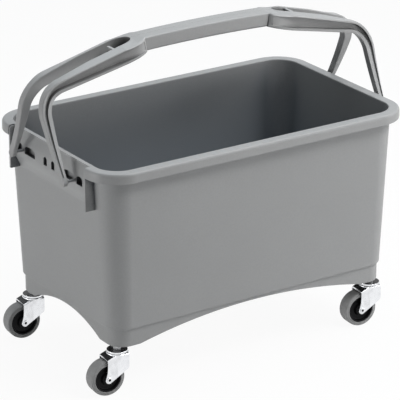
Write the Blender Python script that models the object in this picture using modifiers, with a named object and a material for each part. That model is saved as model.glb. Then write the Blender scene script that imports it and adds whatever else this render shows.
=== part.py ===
"""Wheeled mop bucket: a moulded tub with two hinged bails, standing on four swivel castors.

Metres, +Z up. X runs along the tub, Y to its back, and the origin is on the floor under its middle.
"""
import math

import bmesh
import bpy
from mathutils import Matrix, Vector

# Clearance between pieces that touch
GAP = 0.0003

# Castor: wheel
WHEEL_DIAMETER = 0.050
TYRE_WIDTH = 0.020
TYRE_THICKNESS = 0.0060
TYRE_SHOULDER = 0.0038
WHEEL_RIM_DEPTH = 0.0030
WHEEL_DISH = 0.0042
HUB_RADIUS = 0.0080
AXLE_RADIUS = 0.0025
AXLE_HEAD_RADIUS = 0.0036
AXLE_HEAD_THICKNESS = 0.0007
RIVET_HOLLOW_RADIUS = 0.0018
RIVET_HOLLOW_DEPTH = 0.0040
BUSH_WALL = 0.0018

# Castor: fork and swivel head
FORK_STEEL = 0.0020
FORK_SIDE_CLEARANCE = 0.0016
FORK_EYE_RADIUS = 0.0055
FORK_SHOULDER_REACH = 0.0115
FORK_SHOULDER_DROP = 0.0195
FORK_TAIL_REACH = 0.0020
FORK_TAIL_DROP = 0.0050
FORK_FLAT_REACH = 0.0085
TYRE_TO_FORK = 0.0066
CASTOR_TRAIL = 0.0185
CASTOR_REST_TURN = math.radians(-5.0)
HEAD_RADIUS = 0.0152
HEAD_EDGE = 0.0008
BALL_RADIUS = 0.0009
BALL_TRACK_RADIUS = 0.0095
RACE_THICKNESS = 0.0010
RACE_SKIRT_CLEARANCE = 0.0006
STEM_RADIUS = 0.0040
STEM_HEAD_RADIUS = 0.0060
STEM_HEAD_THICKNESS = 0.0016
STEM_COLLAR_HEIGHT = 0.0045
STEM_GRIP_LENGTH = 0.0195
SOCKET_WALL = 0.0012
SOCKET_FLANGE_RADIUS = 0.0080
SOCKET_FLANGE_THICKNESS = 0.0014

# Tub: body, given at the step and under the lip
BODY_LENGTH_BOTTOM = 0.4512
BODY_LENGTH_TOP = 0.4752
BODY_WIDTH_BOTTOM = 0.2665
BODY_WIDTH_TOP = 0.2814
BODY_CORNER_BOTTOM = 0.0270
BODY_CORNER_TOP = 0.0360
BODY_HEIGHT = 0.2300
WALL = 0.0030
FLOOR_THICKNESS = 0.0034
FLOOR_FILLET = 0.0100

# Tub: rim
LIP_REACH = 0.0125
LIP_THICKNESS = 0.0030
BAND_HEIGHT = 0.0142
RIM_ROUND = 0.0045
RIM_INNER_ROUND = 0.0010

# Tub: skirt and feet
SKIRT_HEIGHT = 0.0260
SKIRT_INSET = 0.0030
STEP_CHAMFER = 0.0010
ARCH_RISE = 0.0210
SIDE_ARCH_MARGIN = 0.0370
END_ARCH_MARGIN = 0.0420
CASTOR_INSET_END = 0.0116
CASTOR_INSET_SIDE = 0.0172
FOOT_BOSS_WALL = 0.0032

# Tub: hinge aprons on both end walls, and the open bay with its ribs on the left one
BAY_WIDTH = 0.2000
BAY_EDGE = 0.0035
APRON_PROUD = 0.0074
APRON_TOP_PROUD = 0.0032
APRON_HEIGHT = 0.0560
APRON_FLARE_HEIGHT = 0.0150
APRON_FACE_HEIGHT = 0.0200
INNER_POCKET_WIDTH = 0.0270
OUTER_POCKET_WIDTH = 0.0150
POCKET_BELOW_PIVOT = 0.0045
POCKET_ABOVE_PIVOT = 0.0075
POCKET_ARCH = 0.0035
POCKET_WEB = 0.0070
POCKET_FLOOR = 0.0012
SLOT_WIDTH = 0.0085
SLOT_SPREAD = 0.0200
RIB_THICKNESS = 0.0034
RIB_HEIGHT = 0.0620
RIB_BACK_FROM_RIM = 0.0010
PIN_RADIUS = 0.0020
PIN_SEAT_DEPTH = 0.0084

# Bails
PIVOT_DROP = 0.0275
PIVOT_SPREAD = 0.1360
GRIP_RISE = 0.1490
GRIP_LENGTH = 0.2000
GRIP_DEPTH = 0.0300
GRIP_HEIGHT = 0.0200
GRIP_CROWN = 0.0020
LEG_CLEARANCE = 0.0084
FOOT_DEPTH = 0.0120
ARM_DEPTH = 0.0132
FOOT_WIDTH = 0.0066
FOOT_TIP_TURN = math.radians(75.0)
EYE_SKIN = 0.0016
LEG_WIDTH = 0.0140
LEG_FLARE = 1.3
LEG_TAPER_START = 0.15
ARM_ROOT_HEIGHT = 0.0172
ARM_HEIGHT = 0.0220
ARM_SPREAD = 0.0118
SHOULDER_DROP = 0.0404
SHOULDER_RADIUS = 0.0370
CROTCH_SETBACK = 0.0175
CROTCH_LENGTH = 0.0190
CROTCH_RUN_IN = 0.0010
FORK_HEAD_LENGTH = 0.0260
OUTER_FLANGE = 0.0026
INNER_FLANGE = 0.0036
CHANNEL_DEPTH = 0.0095
CHANNEL_STOP = 0.0040
CHANNEL_FADE = 0.0440
CHANNEL_END_DEPTH = 0.0016
CHANNEL_CORNER = 0.0003
BAIL_CHAMFER = 0.0010
TONGUE_FROM_GRIP = 0.0480
TONGUE_WIDTH = 0.0040
TONGUE_HEIGHT = 0.0045
TONGUE_PAST_PARTING = 0.0040

# Facets
CORNER_STEPS = 7
WHEEL_STEPS = 24
TURN_STEPS = 12
ARCH_STEPS = 20
POCKET_STEPS = 6
FOOT_STEPS = 4
LEG_STEPS = 4
BEND_STEPS = 8
ARM_STEPS = 4
CROTCH_STEPS = 5
HEAD_STEPS = 4
GRIP_STEPS = 4

# Heights up the castor, from the floor to the foot of the tub
wheel_radius = WHEEL_DIAMETER / 2
plate_under_z = WHEEL_DIAMETER + TYRE_TO_FORK
plate_top_z = plate_under_z + FORK_STEEL
ball_z = plate_top_z + 2 * GAP + BALL_RADIUS
race_z = ball_z + BALL_RADIUS + GAP
collar_z = race_z + RACE_THICKNESS + GAP
socket_z = collar_z + STEM_COLLAR_HEIGHT + GAP
foot_z = socket_z + SOCKET_FLANGE_THICKNESS + GAP

# Heights up the tub
step_z = foot_z + SKIRT_HEIGHT
rim_z = step_z + BODY_HEIGHT
lip_under_z = rim_z - LIP_THICKNESS
floor_top_z = step_z + WALL / 3
floor_under_z = floor_top_z - FLOOR_THICKNESS
pivot_z = rim_z - PIVOT_DROP
grip_z = pivot_z + GRIP_RISE

# Places along and across the tub
skirt_half_length = BODY_LENGTH_BOTTOM / 2 - SKIRT_INSET
skirt_half_width = BODY_WIDTH_BOTTOM / 2 - SKIRT_INSET
castor_x = skirt_half_length - CASTOR_INSET_END
castor_y = skirt_half_width - CASTOR_INSET_SIDE
wall_x = BODY_LENGTH_TOP / 2
rim_x = wall_x + LIP_REACH
leg_x = rim_x + LEG_CLEARANCE
apron_x = wall_x + APRON_PROUD
pivot_y = PIVOT_SPREAD / 2
socket_radius = STEM_RADIUS + GAP + SOCKET_WALL
socket_length = STEM_GRIP_LENGTH + SOCKET_FLANGE_THICKNESS

SIDES = {"left": -1, "right": 1}
ENDS = {"front": -1, "rear": 1}


def clear_scene():
    for item in list(bpy.data.objects):
        bpy.data.objects.remove(item, do_unlink=True)
    for group in list(bpy.data.collections):
        bpy.data.collections.remove(group)


def new_collection(name):
    group = bpy.data.collections.new(name)
    bpy.context.scene.collection.children.link(group)
    return group


clear_scene()
PARTS = new_collection("wheeled_mop_bucket")
CUTTERS = new_collection("cutters")


def new_material(name, colour, roughness, metallic=0.0):
    material = bpy.data.materials.new(name)
    material.use_nodes = True
    shader = material.node_tree.nodes["Principled BSDF"]
    shader.inputs["Base Color"].default_value = (*colour, 1.0)
    shader.inputs["Roughness"].default_value = roughness
    shader.inputs["Metallic"].default_value = metallic
    return material


GREY_PLASTIC = (0.29, 0.29, 0.29)
PALE_PLASTIC = (0.55, 0.55, 0.53)
BLACK_PLASTIC = (0.012, 0.012, 0.013)
TYRE_GREY = (0.24, 0.24, 0.24)
ZINC = (0.80, 0.81, 0.82)
STEEL = (0.55, 0.55, 0.56)


# Mesh tools

def finish_mesh(bm, name):
    """Closes a bmesh into a mesh with its faces pointing out."""
    bmesh.ops.recalc_face_normals(bm, faces=bm.faces)
    mesh = bpy.data.meshes.new(name)
    bm.to_mesh(mesh)
    bm.free()
    return mesh


def evaluated_mesh(item, name):
    """The mesh of an object with its modifiers, after which the object is removed."""
    bpy.context.view_layer.update()
    graph = bpy.context.evaluated_depsgraph_get()
    mesh = bpy.data.meshes.new_from_object(item.evaluated_get(graph))
    mesh.name = name
    bpy.data.objects.remove(item, do_unlink=True)
    bm = bmesh.new()
    bm.from_mesh(mesh)
    bmesh.ops.remove_doubles(bm, verts=bm.verts, dist=1e-6)
    bmesh.ops.recalc_face_normals(bm, faces=bm.faces)
    bm.to_mesh(mesh)
    bm.free()
    return mesh


def scratch_object(mesh):
    item = bpy.data.objects.new(mesh.name, mesh)
    CUTTERS.objects.link(item)
    return item


def boxes(name, corners):
    """One mesh of separate boxes, each given by its low and high corner."""
    bm = bmesh.new()
    for low, high in corners:
        low = Vector(low)
        high = Vector(high)
        matrix = Matrix.Translation((low + high) / 2) @ Matrix.Diagonal((*(high - low), 1.0))
        bmesh.ops.create_cube(bm, size=1.0, matrix=matrix)
    return finish_mesh(bm, name)


def cylinders(name, items, axis="Z", steps=TURN_STEPS):
    """One mesh of separate cylinders, each given by its centre, radius and length along the axis."""
    turn = {"X": Matrix.Rotation(math.pi / 2, 4, "Y"), "Y": Matrix.Rotation(math.pi / 2, 4, "X"),
            "Z": Matrix.Identity(4)}[axis]
    bm = bmesh.new()
    for centre, radius, length in items:
        bmesh.ops.create_cone(bm, cap_ends=True, segments=steps, radius1=radius, radius2=radius, depth=length,
                              matrix=Matrix.Translation(centre) @ turn)
    return finish_mesh(bm, name)


def turned(name, profile, steps, axis="Z", closed=True):
    """A profile of (radius, height) points turned about Z and laid along an axis.

    A closed profile makes a ring; an open one starts and ends on the axis and makes a solid.
    """
    count = len(profile)
    edges = [(i, i + 1) for i in range(count - 1)]
    if closed:
        edges.append((count - 1, 0))
    mesh = bpy.data.meshes.new(name)
    mesh.from_pydata([(radius, 0.0, height) for radius, height in profile], edges, [])
    item = scratch_object(mesh)
    screw = item.modifiers.new("turn", "SCREW")
    screw.steps = steps
    screw.render_steps = steps
    screw.use_merge_vertices = True
    screw.merge_threshold = 1e-6
    result = evaluated_mesh(item, name)
    if axis == "Y":
        result.transform(Matrix.Rotation(math.pi / 2, 4, "X"))
    return result


def extruded(name, outline, low, high, along):
    """A flat outline extruded between two places along X or Y; its points are (other axis, z)."""
    curve = bpy.data.curves.new(name, "CURVE")
    curve.dimensions = "2D"
    curve.fill_mode = "BOTH"
    curve.extrude = (high - low) / 2
    spline = curve.splines.new("POLY")
    spline.points.add(len(outline) - 1)
    for point, (across, up) in zip(spline.points, outline):
        point.co = (across, up, 0.0, 1.0)
    spline.use_cyclic_u = True
    item = bpy.data.objects.new(name, curve)
    CUTTERS.objects.link(item)
    mesh = evaluated_mesh(item, name)
    middle = (low + high) / 2
    if along == "Y":
        axes = Matrix(((1, 0, 0, 0), (0, 0, -1, middle), (0, 1, 0, 0), (0, 0, 0, 1)))
    else:
        axes = Matrix(((0, 0, 1, middle), (1, 0, 0, 0), (0, 1, 0, 0), (0, 0, 0, 1)))
    mesh.transform(axes)
    return mesh


def joined(name, meshes):
    """Several separate closed meshes in one."""
    bm = bmesh.new()
    for mesh in meshes:
        bm.from_mesh(mesh)
    return finish_mesh(bm, name)


def turned_about_z(mesh, angle):
    copy = mesh.copy()
    copy.transform(Matrix.Rotation(angle, 4, "Z"))
    return copy


def boolean(item, operation, mesh):
    """Adds a Boolean whose hidden cutter is the given mesh."""
    cutter = scratch_object(mesh)
    cutter.display_type = "WIRE"
    cutter.hide_render = True
    cutter.hide_set(True)
    step = item.modifiers.new(mesh.name, "BOOLEAN")
    step.operation = operation
    step.solver = "EXACT"
    step.object = cutter


def solid_of(name, start, steps):
    """The finished mesh of a start mesh and a list of (operation, mesh) steps."""
    item = scratch_object(start)
    cutters = []
    for operation, mesh in steps:
        boolean(item, operation, mesh)
        cutters.append(item.modifiers[-1].object)
    result = evaluated_mesh(item, name)
    for cutter in cutters:
        bpy.data.objects.remove(cutter, do_unlink=True)
    return result


def add_part(name, mesh, material, parent=None, smooth_angle=35):
    """One named sub-part with its material, shaded smooth between its sharp edges."""
    item = bpy.data.objects.new(name, mesh)
    PARTS.objects.link(item)
    if not mesh.materials:
        mesh.materials.append(material)
    mesh.shade_smooth()
    mesh.set_sharp_from_angle(angle=math.radians(smooth_angle))
    item.parent = parent
    return item


def add_empty(name, location, turn=0.0, parent=None):
    item = bpy.data.objects.new(name, None)
    PARTS.objects.link(item)
    item.location = location
    item.rotation_euler = (0.0, 0.0, turn)
    item.parent = parent
    return item


def mix(a, b, t):
    return a + (b - a) * t


def loft(name, rings):
    """A closed body through rings of equal point counts, capped at both ends."""
    bm = bmesh.new()
    rows = [[bm.verts.new(point) for point in ring] for ring in rings]
    count = len(rows[0])
    for low, high in zip(rows, rows[1:]):
        for i in range(count):
            j = (i + 1) % count
            bm.faces.new((low[i], low[j], high[j], high[i]))
    bm.faces.new(rows[0])
    bm.faces.new(rows[-1])
    return finish_mesh(bm, name)


# Tub

def rounded_ring(half_length, half_width, corner, z):
    """A rounded rectangle at one height."""
    points = []
    for quarter in range(4):
        start = quarter * math.pi / 2
        sign_x = 1 if quarter in (0, 3) else -1
        sign_y = 1 if quarter in (0, 1) else -1
        for step in range(CORNER_STEPS + 1):
            angle = start + step / CORNER_STEPS * math.pi / 2
            points.append((sign_x * (half_length - corner) + corner * math.cos(angle),
                           sign_y * (half_width - corner) + corner * math.sin(angle), z))
    return points


def body_size(z):
    """Half length, half width and corner of the body's outside at a height."""
    t = (z - step_z) / (lip_under_z - step_z)
    return (mix(BODY_LENGTH_BOTTOM, BODY_LENGTH_TOP, t) / 2, mix(BODY_WIDTH_BOTTOM, BODY_WIDTH_TOP, t) / 2,
            mix(BODY_CORNER_BOTTOM, BODY_CORNER_TOP, t))


def body_ring(z, outwards=0.0, size_z=None):
    """A ring that follows the body's outside, moved outwards, at height z."""
    half_length, half_width, corner = body_size(z if size_z is None else size_z)
    return rounded_ring(half_length + outwards, half_width + outwards, corner + outwards, z)


def rounding(radius, steps=3):
    """How far a round edge has moved sideways and upwards, from its start to its end."""
    turns = [step / steps * math.pi / 2 for step in range(steps + 1)]
    return [(radius * (1 - math.cos(turn)), radius * math.sin(turn)) for turn in turns]


def tub_shell():
    """The skirt, the body, the lip with its hollow underside, and the inside down to the floor."""
    skirt_inside = -SKIRT_INSET - WALL
    skirt = [body_ring(floor_under_z, skirt_inside, step_z), body_ring(foot_z, skirt_inside, step_z),
             body_ring(foot_z, -SKIRT_INSET, step_z), body_ring(step_z, -SKIRT_INSET, step_z)]
    body = [body_ring(step_z, -STEP_CHAMFER, step_z), body_ring(step_z + STEP_CHAMFER),
            body_ring(lip_under_z)]
    band_z = rim_z - BAND_HEIGHT
    band_inside = LIP_REACH - LIP_THICKNESS
    lip = [body_ring(lip_under_z, band_inside), body_ring(band_z, band_inside, lip_under_z),
           body_ring(band_z, LIP_REACH, lip_under_z)]
    lip += [body_ring(rim_z - RIM_ROUND + up, LIP_REACH - inwards, lip_under_z)
            for inwards, up in rounding(RIM_ROUND)]
    lip += [body_ring(rim_z, RIM_INNER_ROUND - WALL, lip_under_z),
            body_ring(rim_z - RIM_INNER_ROUND, -WALL, lip_under_z)]
    inside = [body_ring(floor_top_z + FLOOR_FILLET - down, -WALL - inwards)
              for inwards, down in rounding(FLOOR_FILLET)]
    return loft("tub", skirt + body + lip + inside)


def arch_outline(half_span, low_z):
    """An arch from the floor side up to its crown, with round haunches."""
    radius = (half_span ** 2 + ARCH_RISE ** 2) / (2 * ARCH_RISE)
    spread = math.asin(half_span / radius)
    centre_z = foot_z + ARCH_RISE - radius
    turns = [mix(spread, -spread, step / ARCH_STEPS) for step in range(ARCH_STEPS + 1)]
    top = [(radius * math.sin(turn), centre_z + radius * math.cos(turn)) for turn in turns]
    return [(-half_span, low_z), (half_span, low_z)] + top


def at_both_ends(name, mesh):
    """The same shape at the right end and, turned half round, at the left end."""
    return joined(name, [mesh, turned_about_z(mesh, math.pi)])


def apron_mesh():
    """The shield on the right end wall that carries the hinges, flared in to the wall above and below."""
    low_z = rim_z - APRON_HEIGHT
    top_z = rim_z - LIP_THICKNESS
    face_top_z = top_z - APRON_FLARE_HEIGHT
    face_low_z = face_top_z - APRON_FACE_HEIGHT
    inside = WALL / 3
    outline = [(body_size(low_z)[0] - inside, low_z), (apron_x, face_low_z), (apron_x, face_top_z),
               (wall_x + APRON_TOP_PROUD, top_z), (body_size(top_z)[0] - inside, top_z)]
    half = BAY_WIDTH / 2 - RIB_THICKNESS / 2
    return extruded("apron", outline, -half, half, "Y")


def pocket_outline(centre_y, width):
    """An arch-topped pocket at the height of the hinges, as (y, z) points."""
    half = width / 2
    low_z = pivot_z - POCKET_BELOW_PIVOT
    spring_z = pivot_z + POCKET_ABOVE_PIVOT - POCKET_ARCH
    turns = [step / POCKET_STEPS * math.pi for step in range(POCKET_STEPS + 1)]
    top = [(centre_y + half * math.cos(turn), spring_z + POCKET_ARCH * math.sin(turn)) for turn in turns]
    return [(centre_y - half, low_z), (centre_y + half, low_z)] + top


def pockets_mesh():
    """A pocket each side of both hinges of the right end wall, and two slots in its middle."""
    inner_y = pivot_y - POCKET_WEB / 2 - INNER_POCKET_WIDTH / 2
    outer_y = pivot_y + POCKET_WEB / 2 + OUTER_POCKET_WIDTH / 2
    outlines = []
    for side in (-1, 1):
        outlines.append(pocket_outline(side * inner_y, INNER_POCKET_WIDTH))
        outlines.append(pocket_outline(side * outer_y, OUTER_POCKET_WIDTH))
        outlines.append(pocket_outline(side * SLOT_SPREAD / 2, SLOT_WIDTH))
    floor_x = wall_x + POCKET_FLOOR
    return joined("pockets", [extruded("pocket", outline, floor_x, leg_x, "X") for outline in outlines])


def rib_mesh(side):
    """A thin upright rib that closes the end of the lip beside the bay, as if on the right end wall."""
    low_z = rim_z - RIB_HEIGHT
    top_z = rim_z - LIP_THICKNESS / 2
    inside = WALL / 2
    outer_x = rim_x - RIB_BACK_FROM_RIM
    corner = RIM_ROUND / 2
    outline = [(body_size(low_z)[0] - inside, low_z), (outer_x, low_z), (outer_x, top_z - corner),
               (outer_x - corner, top_z), (wall_x - inside, top_z)]
    outer_y = side * (BAY_WIDTH / 2 + 2 * GAP)
    inner_y = outer_y - side * RIB_THICKNESS
    return extruded("rib", outline, min(outer_y, inner_y), max(outer_y, inner_y), "Y")


def castor_places():
    return [(x * castor_x, y * castor_y) for x in SIDES.values() for y in ENDS.values()]


def build_tub():
    tub = add_part("tub", tub_shell(), new_material("tub_grey", GREY_PLASTIC, 0.45))
    over = rim_x + LEG_CLEARANCE
    below_z = foot_z - SKIRT_HEIGHT
    half_bay = BAY_WIDTH / 2
    bay = boxes("bay", [((wall_x + BAY_EDGE, -half_bay, rim_z - BAND_HEIGHT - LIP_THICKNESS),
                         (over, half_bay, rim_z + LIP_THICKNESS))])
    boolean(tub, "DIFFERENCE", turned_about_z(bay, math.pi))
    side_span = skirt_half_length - SIDE_ARCH_MARGIN
    end_span = skirt_half_width - END_ARCH_MARGIN
    boolean(tub, "DIFFERENCE", extruded("side_arches", arch_outline(side_span, below_z), -over, over, "Y"))
    boolean(tub, "DIFFERENCE", extruded("end_arches", arch_outline(end_span, below_z), -over, over, "X"))
    boolean(tub, "UNION", at_both_ends("aprons", apron_mesh()))
    ribs = joined("ribs", [rib_mesh(-1), rib_mesh(1)])
    boolean(tub, "UNION", turned_about_z(ribs, math.pi))
    boolean(tub, "DIFFERENCE", at_both_ends("hinge_pockets", pockets_mesh()))
    seats = [((apron_x, y, pivot_z), PIN_RADIUS + GAP, 2 * PIN_SEAT_DEPTH) for y in (-pivot_y, pivot_y)]
    boolean(tub, "DIFFERENCE", at_both_ends("pin_seats", cylinders("seat_pair", seats, "X")))
    boss_top = floor_under_z + FLOOR_THICKNESS / 3
    foot_boss_low = foot_z + GAP
    boss_middle = (foot_boss_low + boss_top) / 2
    foot_bosses = [((x, y, boss_middle), socket_radius + GAP + FOOT_BOSS_WALL, boss_top - foot_boss_low)
                   for x, y in castor_places()]
    boolean(tub, "UNION", cylinders("foot_bosses", foot_bosses))
    bore_length = 2 * (socket_length - SOCKET_FLANGE_THICKNESS + GAP)
    bores = [((x, y, foot_z), socket_radius + GAP, bore_length) for x, y in castor_places()]
    boolean(tub, "DIFFERENCE", cylinders("socket_bores", bores))
    return tub


# Bails

def arc_between(before, corner, after, radius, steps):
    """Points of the arc of a given radius that rounds a corner, and where it starts and ends."""
    into = (before - corner).normalized()
    out = (after - corner).normalized()
    half_angle = into.angle(out) / 2
    start = corner + into * radius / math.tan(half_angle)
    end = corner + out * radius / math.tan(half_angle)
    centre = corner + (into + out).normalized() * radius / math.sin(half_angle)
    first = start - centre
    sweep = first.angle_signed(end - centre)
    points = []
    for step in range(steps + 1):
        turn = -sweep * step / steps
        points.append(centre + Matrix.Rotation(turn, 2) @ first)
    return points


def bail_centre_line():
    """Stations of one half of a bail, from its foot to the middle of the grip.

    Each is (x, z, height in the bail's plane, near y, far y), with y counted from the parting plane.
    """
    foot = Vector((leg_x + FOOT_WIDTH / 2, pivot_z))
    shoulder = Vector((leg_x + LEG_WIDTH / 2, grip_z - SHOULDER_DROP))
    grip_end = Vector((GRIP_LENGTH / 2, grip_z - GRIP_CROWN))
    arm = (shoulder - grip_end).normalized()
    near_pivot = pivot_y - FOOT_DEPTH / 2

    def leg_faces(z):
        share = max(0.0, (shoulder.y - z) / (shoulder.y - pivot_z))
        near = mix(ARM_SPREAD, near_pivot, share ** LEG_FLARE)
        return near, near + mix(ARM_DEPTH, FOOT_DEPTH, share)

    # The foot: the end of the leg is round about the pin
    result = []
    for step in range(FOOT_STEPS):
        turn = FOOT_TIP_TURN * (1 - step / FOOT_STEPS)
        half = FOOT_DEPTH / 2 * math.cos(turn)
        tip_z = pivot_z - FOOT_DEPTH / 2 * math.sin(turn)
        result.append((foot.x, tip_z, FOOT_WIDTH, pivot_y - half, pivot_y + half))

    # The leg, the bend over the shoulder and the arm
    bend = arc_between(foot, shoulder, grip_end, SHOULDER_RADIUS, BEND_STEPS)
    for step in range(LEG_STEPS):
        t = step / LEG_STEPS
        point = foot.lerp(bend[0], t)
        widening = max(0.0, (t - LEG_TAPER_START) / (1 - LEG_TAPER_START))
        result.append((point.x, point.y, mix(FOOT_WIDTH, LEG_WIDTH, widening), *leg_faces(point.y)))
    for step, point in enumerate(bend):
        height = mix(LEG_WIDTH, ARM_ROOT_HEIGHT, step / BEND_STEPS)
        result.append((point.x, point.y, height, *leg_faces(point.y)))
    fork_reach = CROTCH_SETBACK + CROTCH_LENGTH + CROTCH_RUN_IN
    fork_start = grip_end + arm * fork_reach / arm.x
    for step in range(1, ARM_STEPS + 1):
        t = step / ARM_STEPS
        point = bend[-1].lerp(fork_start, t)
        height = mix(ARM_ROOT_HEIGHT, ARM_HEIGHT, t)
        result.append((point.x, point.y, height, ARM_SPREAD, ARM_SPREAD + ARM_DEPTH))

    # The fork head: the near face closes round the crotch and the far face turns in to the grip
    parting = GAP / 2
    head_x = grip_end.x + FORK_HEAD_LENGTH

    def fork_station(x, near):
        share = (grip_end.x + fork_reach - x) / fork_reach
        z = grip_end.y + (x - grip_end.x) * arm.y / arm.x
        run = max(0.0, (head_x - x) / FORK_HEAD_LENGTH)
        far = mix(GRIP_DEPTH / 2, ARM_SPREAD + ARM_DEPTH, math.sqrt(1 - run ** 2))
        return (x, z, mix(ARM_HEIGHT, GRIP_HEIGHT, share), near, far)

    crotch_x = grip_end.x + CROTCH_SETBACK
    for step in range(CROTCH_STEPS + 1):
        closing = math.sin(step / CROTCH_STEPS * math.pi / 2)
        near = max(parting, ARM_SPREAD * math.sqrt(1 - closing ** 2))
        result.append(fork_station(crotch_x + CROTCH_LENGTH * (1 - closing), near))
    turn_at_crotch = math.asin((head_x - crotch_x) / FORK_HEAD_LENGTH)
    for step in range(1, HEAD_STEPS):
        turn = mix(turn_at_crotch, math.pi / 2, step / HEAD_STEPS)
        result.append(fork_station(head_x - FORK_HEAD_LENGTH * math.sin(turn), parting))

    # The grip, a shallow arch
    for step in range(GRIP_STEPS + 1):
        x = mix(grip_end.x, 0.0, step / GRIP_STEPS)
        z = grip_z - GRIP_CROWN * (x / grip_end.x) ** 2
        result.append((x, z, GRIP_HEIGHT, parting, GRIP_DEPTH / 2))
    return result


def mirrored_stations(half):
    """A whole run of stations from one half that ends on the middle plane."""
    other = [(-x, z, height, near, far) for x, z, height, near, far in half if x > 1e-6]
    return half + other[::-1]


def station_normals(stations):
    """Unit normals in the XZ plane, pointing away from the inside of the bail."""
    normals = []
    for i in range(len(stations)):
        before = stations[max(0, i - 1)]
        after = stations[min(len(stations) - 1, i + 1)]
        run = Vector((after[0] - before[0], after[1] - before[1])).normalized()
        normals.append(Vector((run.y, -run.x)))
    return normals


def section_ring(place, normal, depths, heights, chamfer):
    """A chamfered rectangle across the bail at one place, in front of the parting plane."""
    x, z = place
    near, far = depths
    low, high = heights
    corners = [(near, low, 1, 1), (far, low, -1, 1), (far, high, -1, -1), (near, high, 1, -1)]
    ring = []
    for index, (depth, up, sign_depth, sign_up) in enumerate(corners):
        first = (depth + sign_depth * chamfer, up)
        second = (depth, up + sign_up * chamfer)
        pair = (second, first) if index % 2 == 0 else (first, second)
        for d, u in pair:
            ring.append((x + normal.x * u, -d, z + normal.y * u))
    return ring


def channel_depth(x):
    """How deep the channel is at a distance from the middle: it grows shallow towards the fork head."""
    full_x = GRIP_LENGTH / 2 + CHANNEL_STOP + CHANNEL_FADE
    share = min(1.0, max(0.0, (full_x - abs(x)) / CHANNEL_FADE))
    return mix(CHANNEL_DEPTH, CHANNEL_END_DEPTH, share)


def bail_mesh():
    """The front bail in the world's frame: a C-channel frame with a solid half grip and two round feet."""
    half_line = bail_centre_line()
    stations = mirrored_stations(half_line)
    normals = station_normals(stations)
    body_rings = []
    channel_rings = {1: [], -1: []}
    for (x, z, height, near, far), normal in zip(stations, normals):
        half = height / 2
        body_rings.append(section_ring((x, z), normal, (near, far), (-half, half), BAIL_CHAMFER))
        if abs(x) > GRIP_LENGTH / 2 + CHANNEL_STOP and z > pivot_z + FOOT_DEPTH / 2:
            depths = (far - channel_depth(x), far + CHANNEL_DEPTH)
            heights = (INNER_FLANGE - half, half - OUTER_FLANGE)
            side = 1 if x > 0 else -1
            channel_rings[side].append(section_ring((x, z), normal, depths, heights, CHANNEL_CORNER))
    body = loft("bail_body", body_rings)
    channels = [loft("channel", rings) for rings in channel_rings.values()]
    hole_depth = FOOT_WIDTH - EYE_SKIN
    holes = [((side * leg_x, -pivot_y, pivot_z), PIN_RADIUS + GAP, 2 * hole_depth) for side in (-1, 1)]
    tongue_x = -GRIP_LENGTH / 2 - TONGUE_FROM_GRIP
    tongue_z = station_height_at(half_line, -tongue_x) + ARM_HEIGHT / 2 - BAIL_CHAMFER - TONGUE_HEIGHT
    tongue = boxes("tongue", [((tongue_x - TONGUE_WIDTH / 2, -ARM_SPREAD - BAIL_CHAMFER, tongue_z),
                               (tongue_x + TONGUE_WIDTH / 2, TONGUE_PAST_PARTING, tongue_z + TONGUE_HEIGHT))])
    return solid_of("bail", body, [("DIFFERENCE", joined("channels", channels)),
                                   ("DIFFERENCE", cylinders("eye_holes", holes, "X")),
                                   ("UNION", tongue)])


def station_height_at(half, x):
    """Height of the arm's centre line at a distance from the middle."""
    pairs = sorted((s[0], s[1]) for s in half if s[1] > grip_z - SHOULDER_DROP)
    for (x0, z0), (x1, z1) in zip(pairs, pairs[1:]):
        if x0 <= x <= x1:
            return mix(z0, z1, (x - x0) / (x1 - x0))
    return pairs[-1][1]


def build_bails():
    mesh = bail_mesh()
    mesh.transform(Matrix.Translation((0.0, pivot_y, -pivot_z)))
    material = new_material("bail_grey", GREY_PLASTIC, 0.42)
    for end, sign in ENDS.items():
        turn = 0.0 if sign < 0 else math.pi
        hinge = add_empty(f"{end}_bail_hinge", (0.0, sign * pivot_y, pivot_z), turn)
        add_part(f"{end}_bail", mesh, material, hinge)


def build_hinge_pins():
    inner = apron_x - PIN_SEAT_DEPTH + GAP
    outer = leg_x + FOOT_WIDTH - EYE_SKIN - GAP
    length = outer - inner
    mesh = cylinders("hinge_pin", [((0.0, 0.0, 0.0), PIN_RADIUS, length)], "X")
    material = new_material("pin_steel", STEEL, 0.35, 1.0)
    for end, sign_y in ENDS.items():
        for side, sign_x in SIDES.items():
            pin = add_part(f"hinge_pin_{end}_{side}", mesh, material)
            pin.location = (sign_x * (inner + length / 2), sign_y * pivot_y, pivot_z)


# Castors, each about its stem's axis, with the wheel trailing towards -X

def tyre_mesh():
    outer = wheel_radius
    inner = outer - TYRE_THICKNESS + GAP
    half = TYRE_WIDTH / 2
    shoulder = [(outer - inwards, half - TYRE_SHOULDER + up) for inwards, up in rounding(TYRE_SHOULDER)]
    low_shoulder = [(r, -h) for r, h in reversed(shoulder)]
    profile = [(inner, half)] + shoulder[::-1] + low_shoulder[::-1] + [(inner, -half)]
    return turned("tyre", profile, WHEEL_STEPS, "Y")


def wheel_mesh():
    rim = wheel_radius - TYRE_THICKNESS
    dish = rim - WHEEL_RIM_DEPTH
    half = TYRE_WIDTH / 2 - GAP
    web = half - WHEEL_DISH
    hub_half = TYRE_WIDTH / 2 + FORK_SIDE_CLEARANCE / 2
    bore = AXLE_RADIUS + GAP + BUSH_WALL + GAP
    upper = [(bore, hub_half), (HUB_RADIUS, hub_half), (HUB_RADIUS + WHEEL_DISH / 3, web), (dish, web),
             (dish + WHEEL_DISH / 3, half), (rim, half)]
    lower = [(r, -h) for r, h in reversed(upper)]
    return turned("wheel", upper + lower, WHEEL_STEPS, "Y")


def fork_inner_half():
    return TYRE_WIDTH / 2 + FORK_SIDE_CLEARANCE


def fork_tail_x():
    return -CASTOR_TRAIL - FORK_TAIL_REACH


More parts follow.
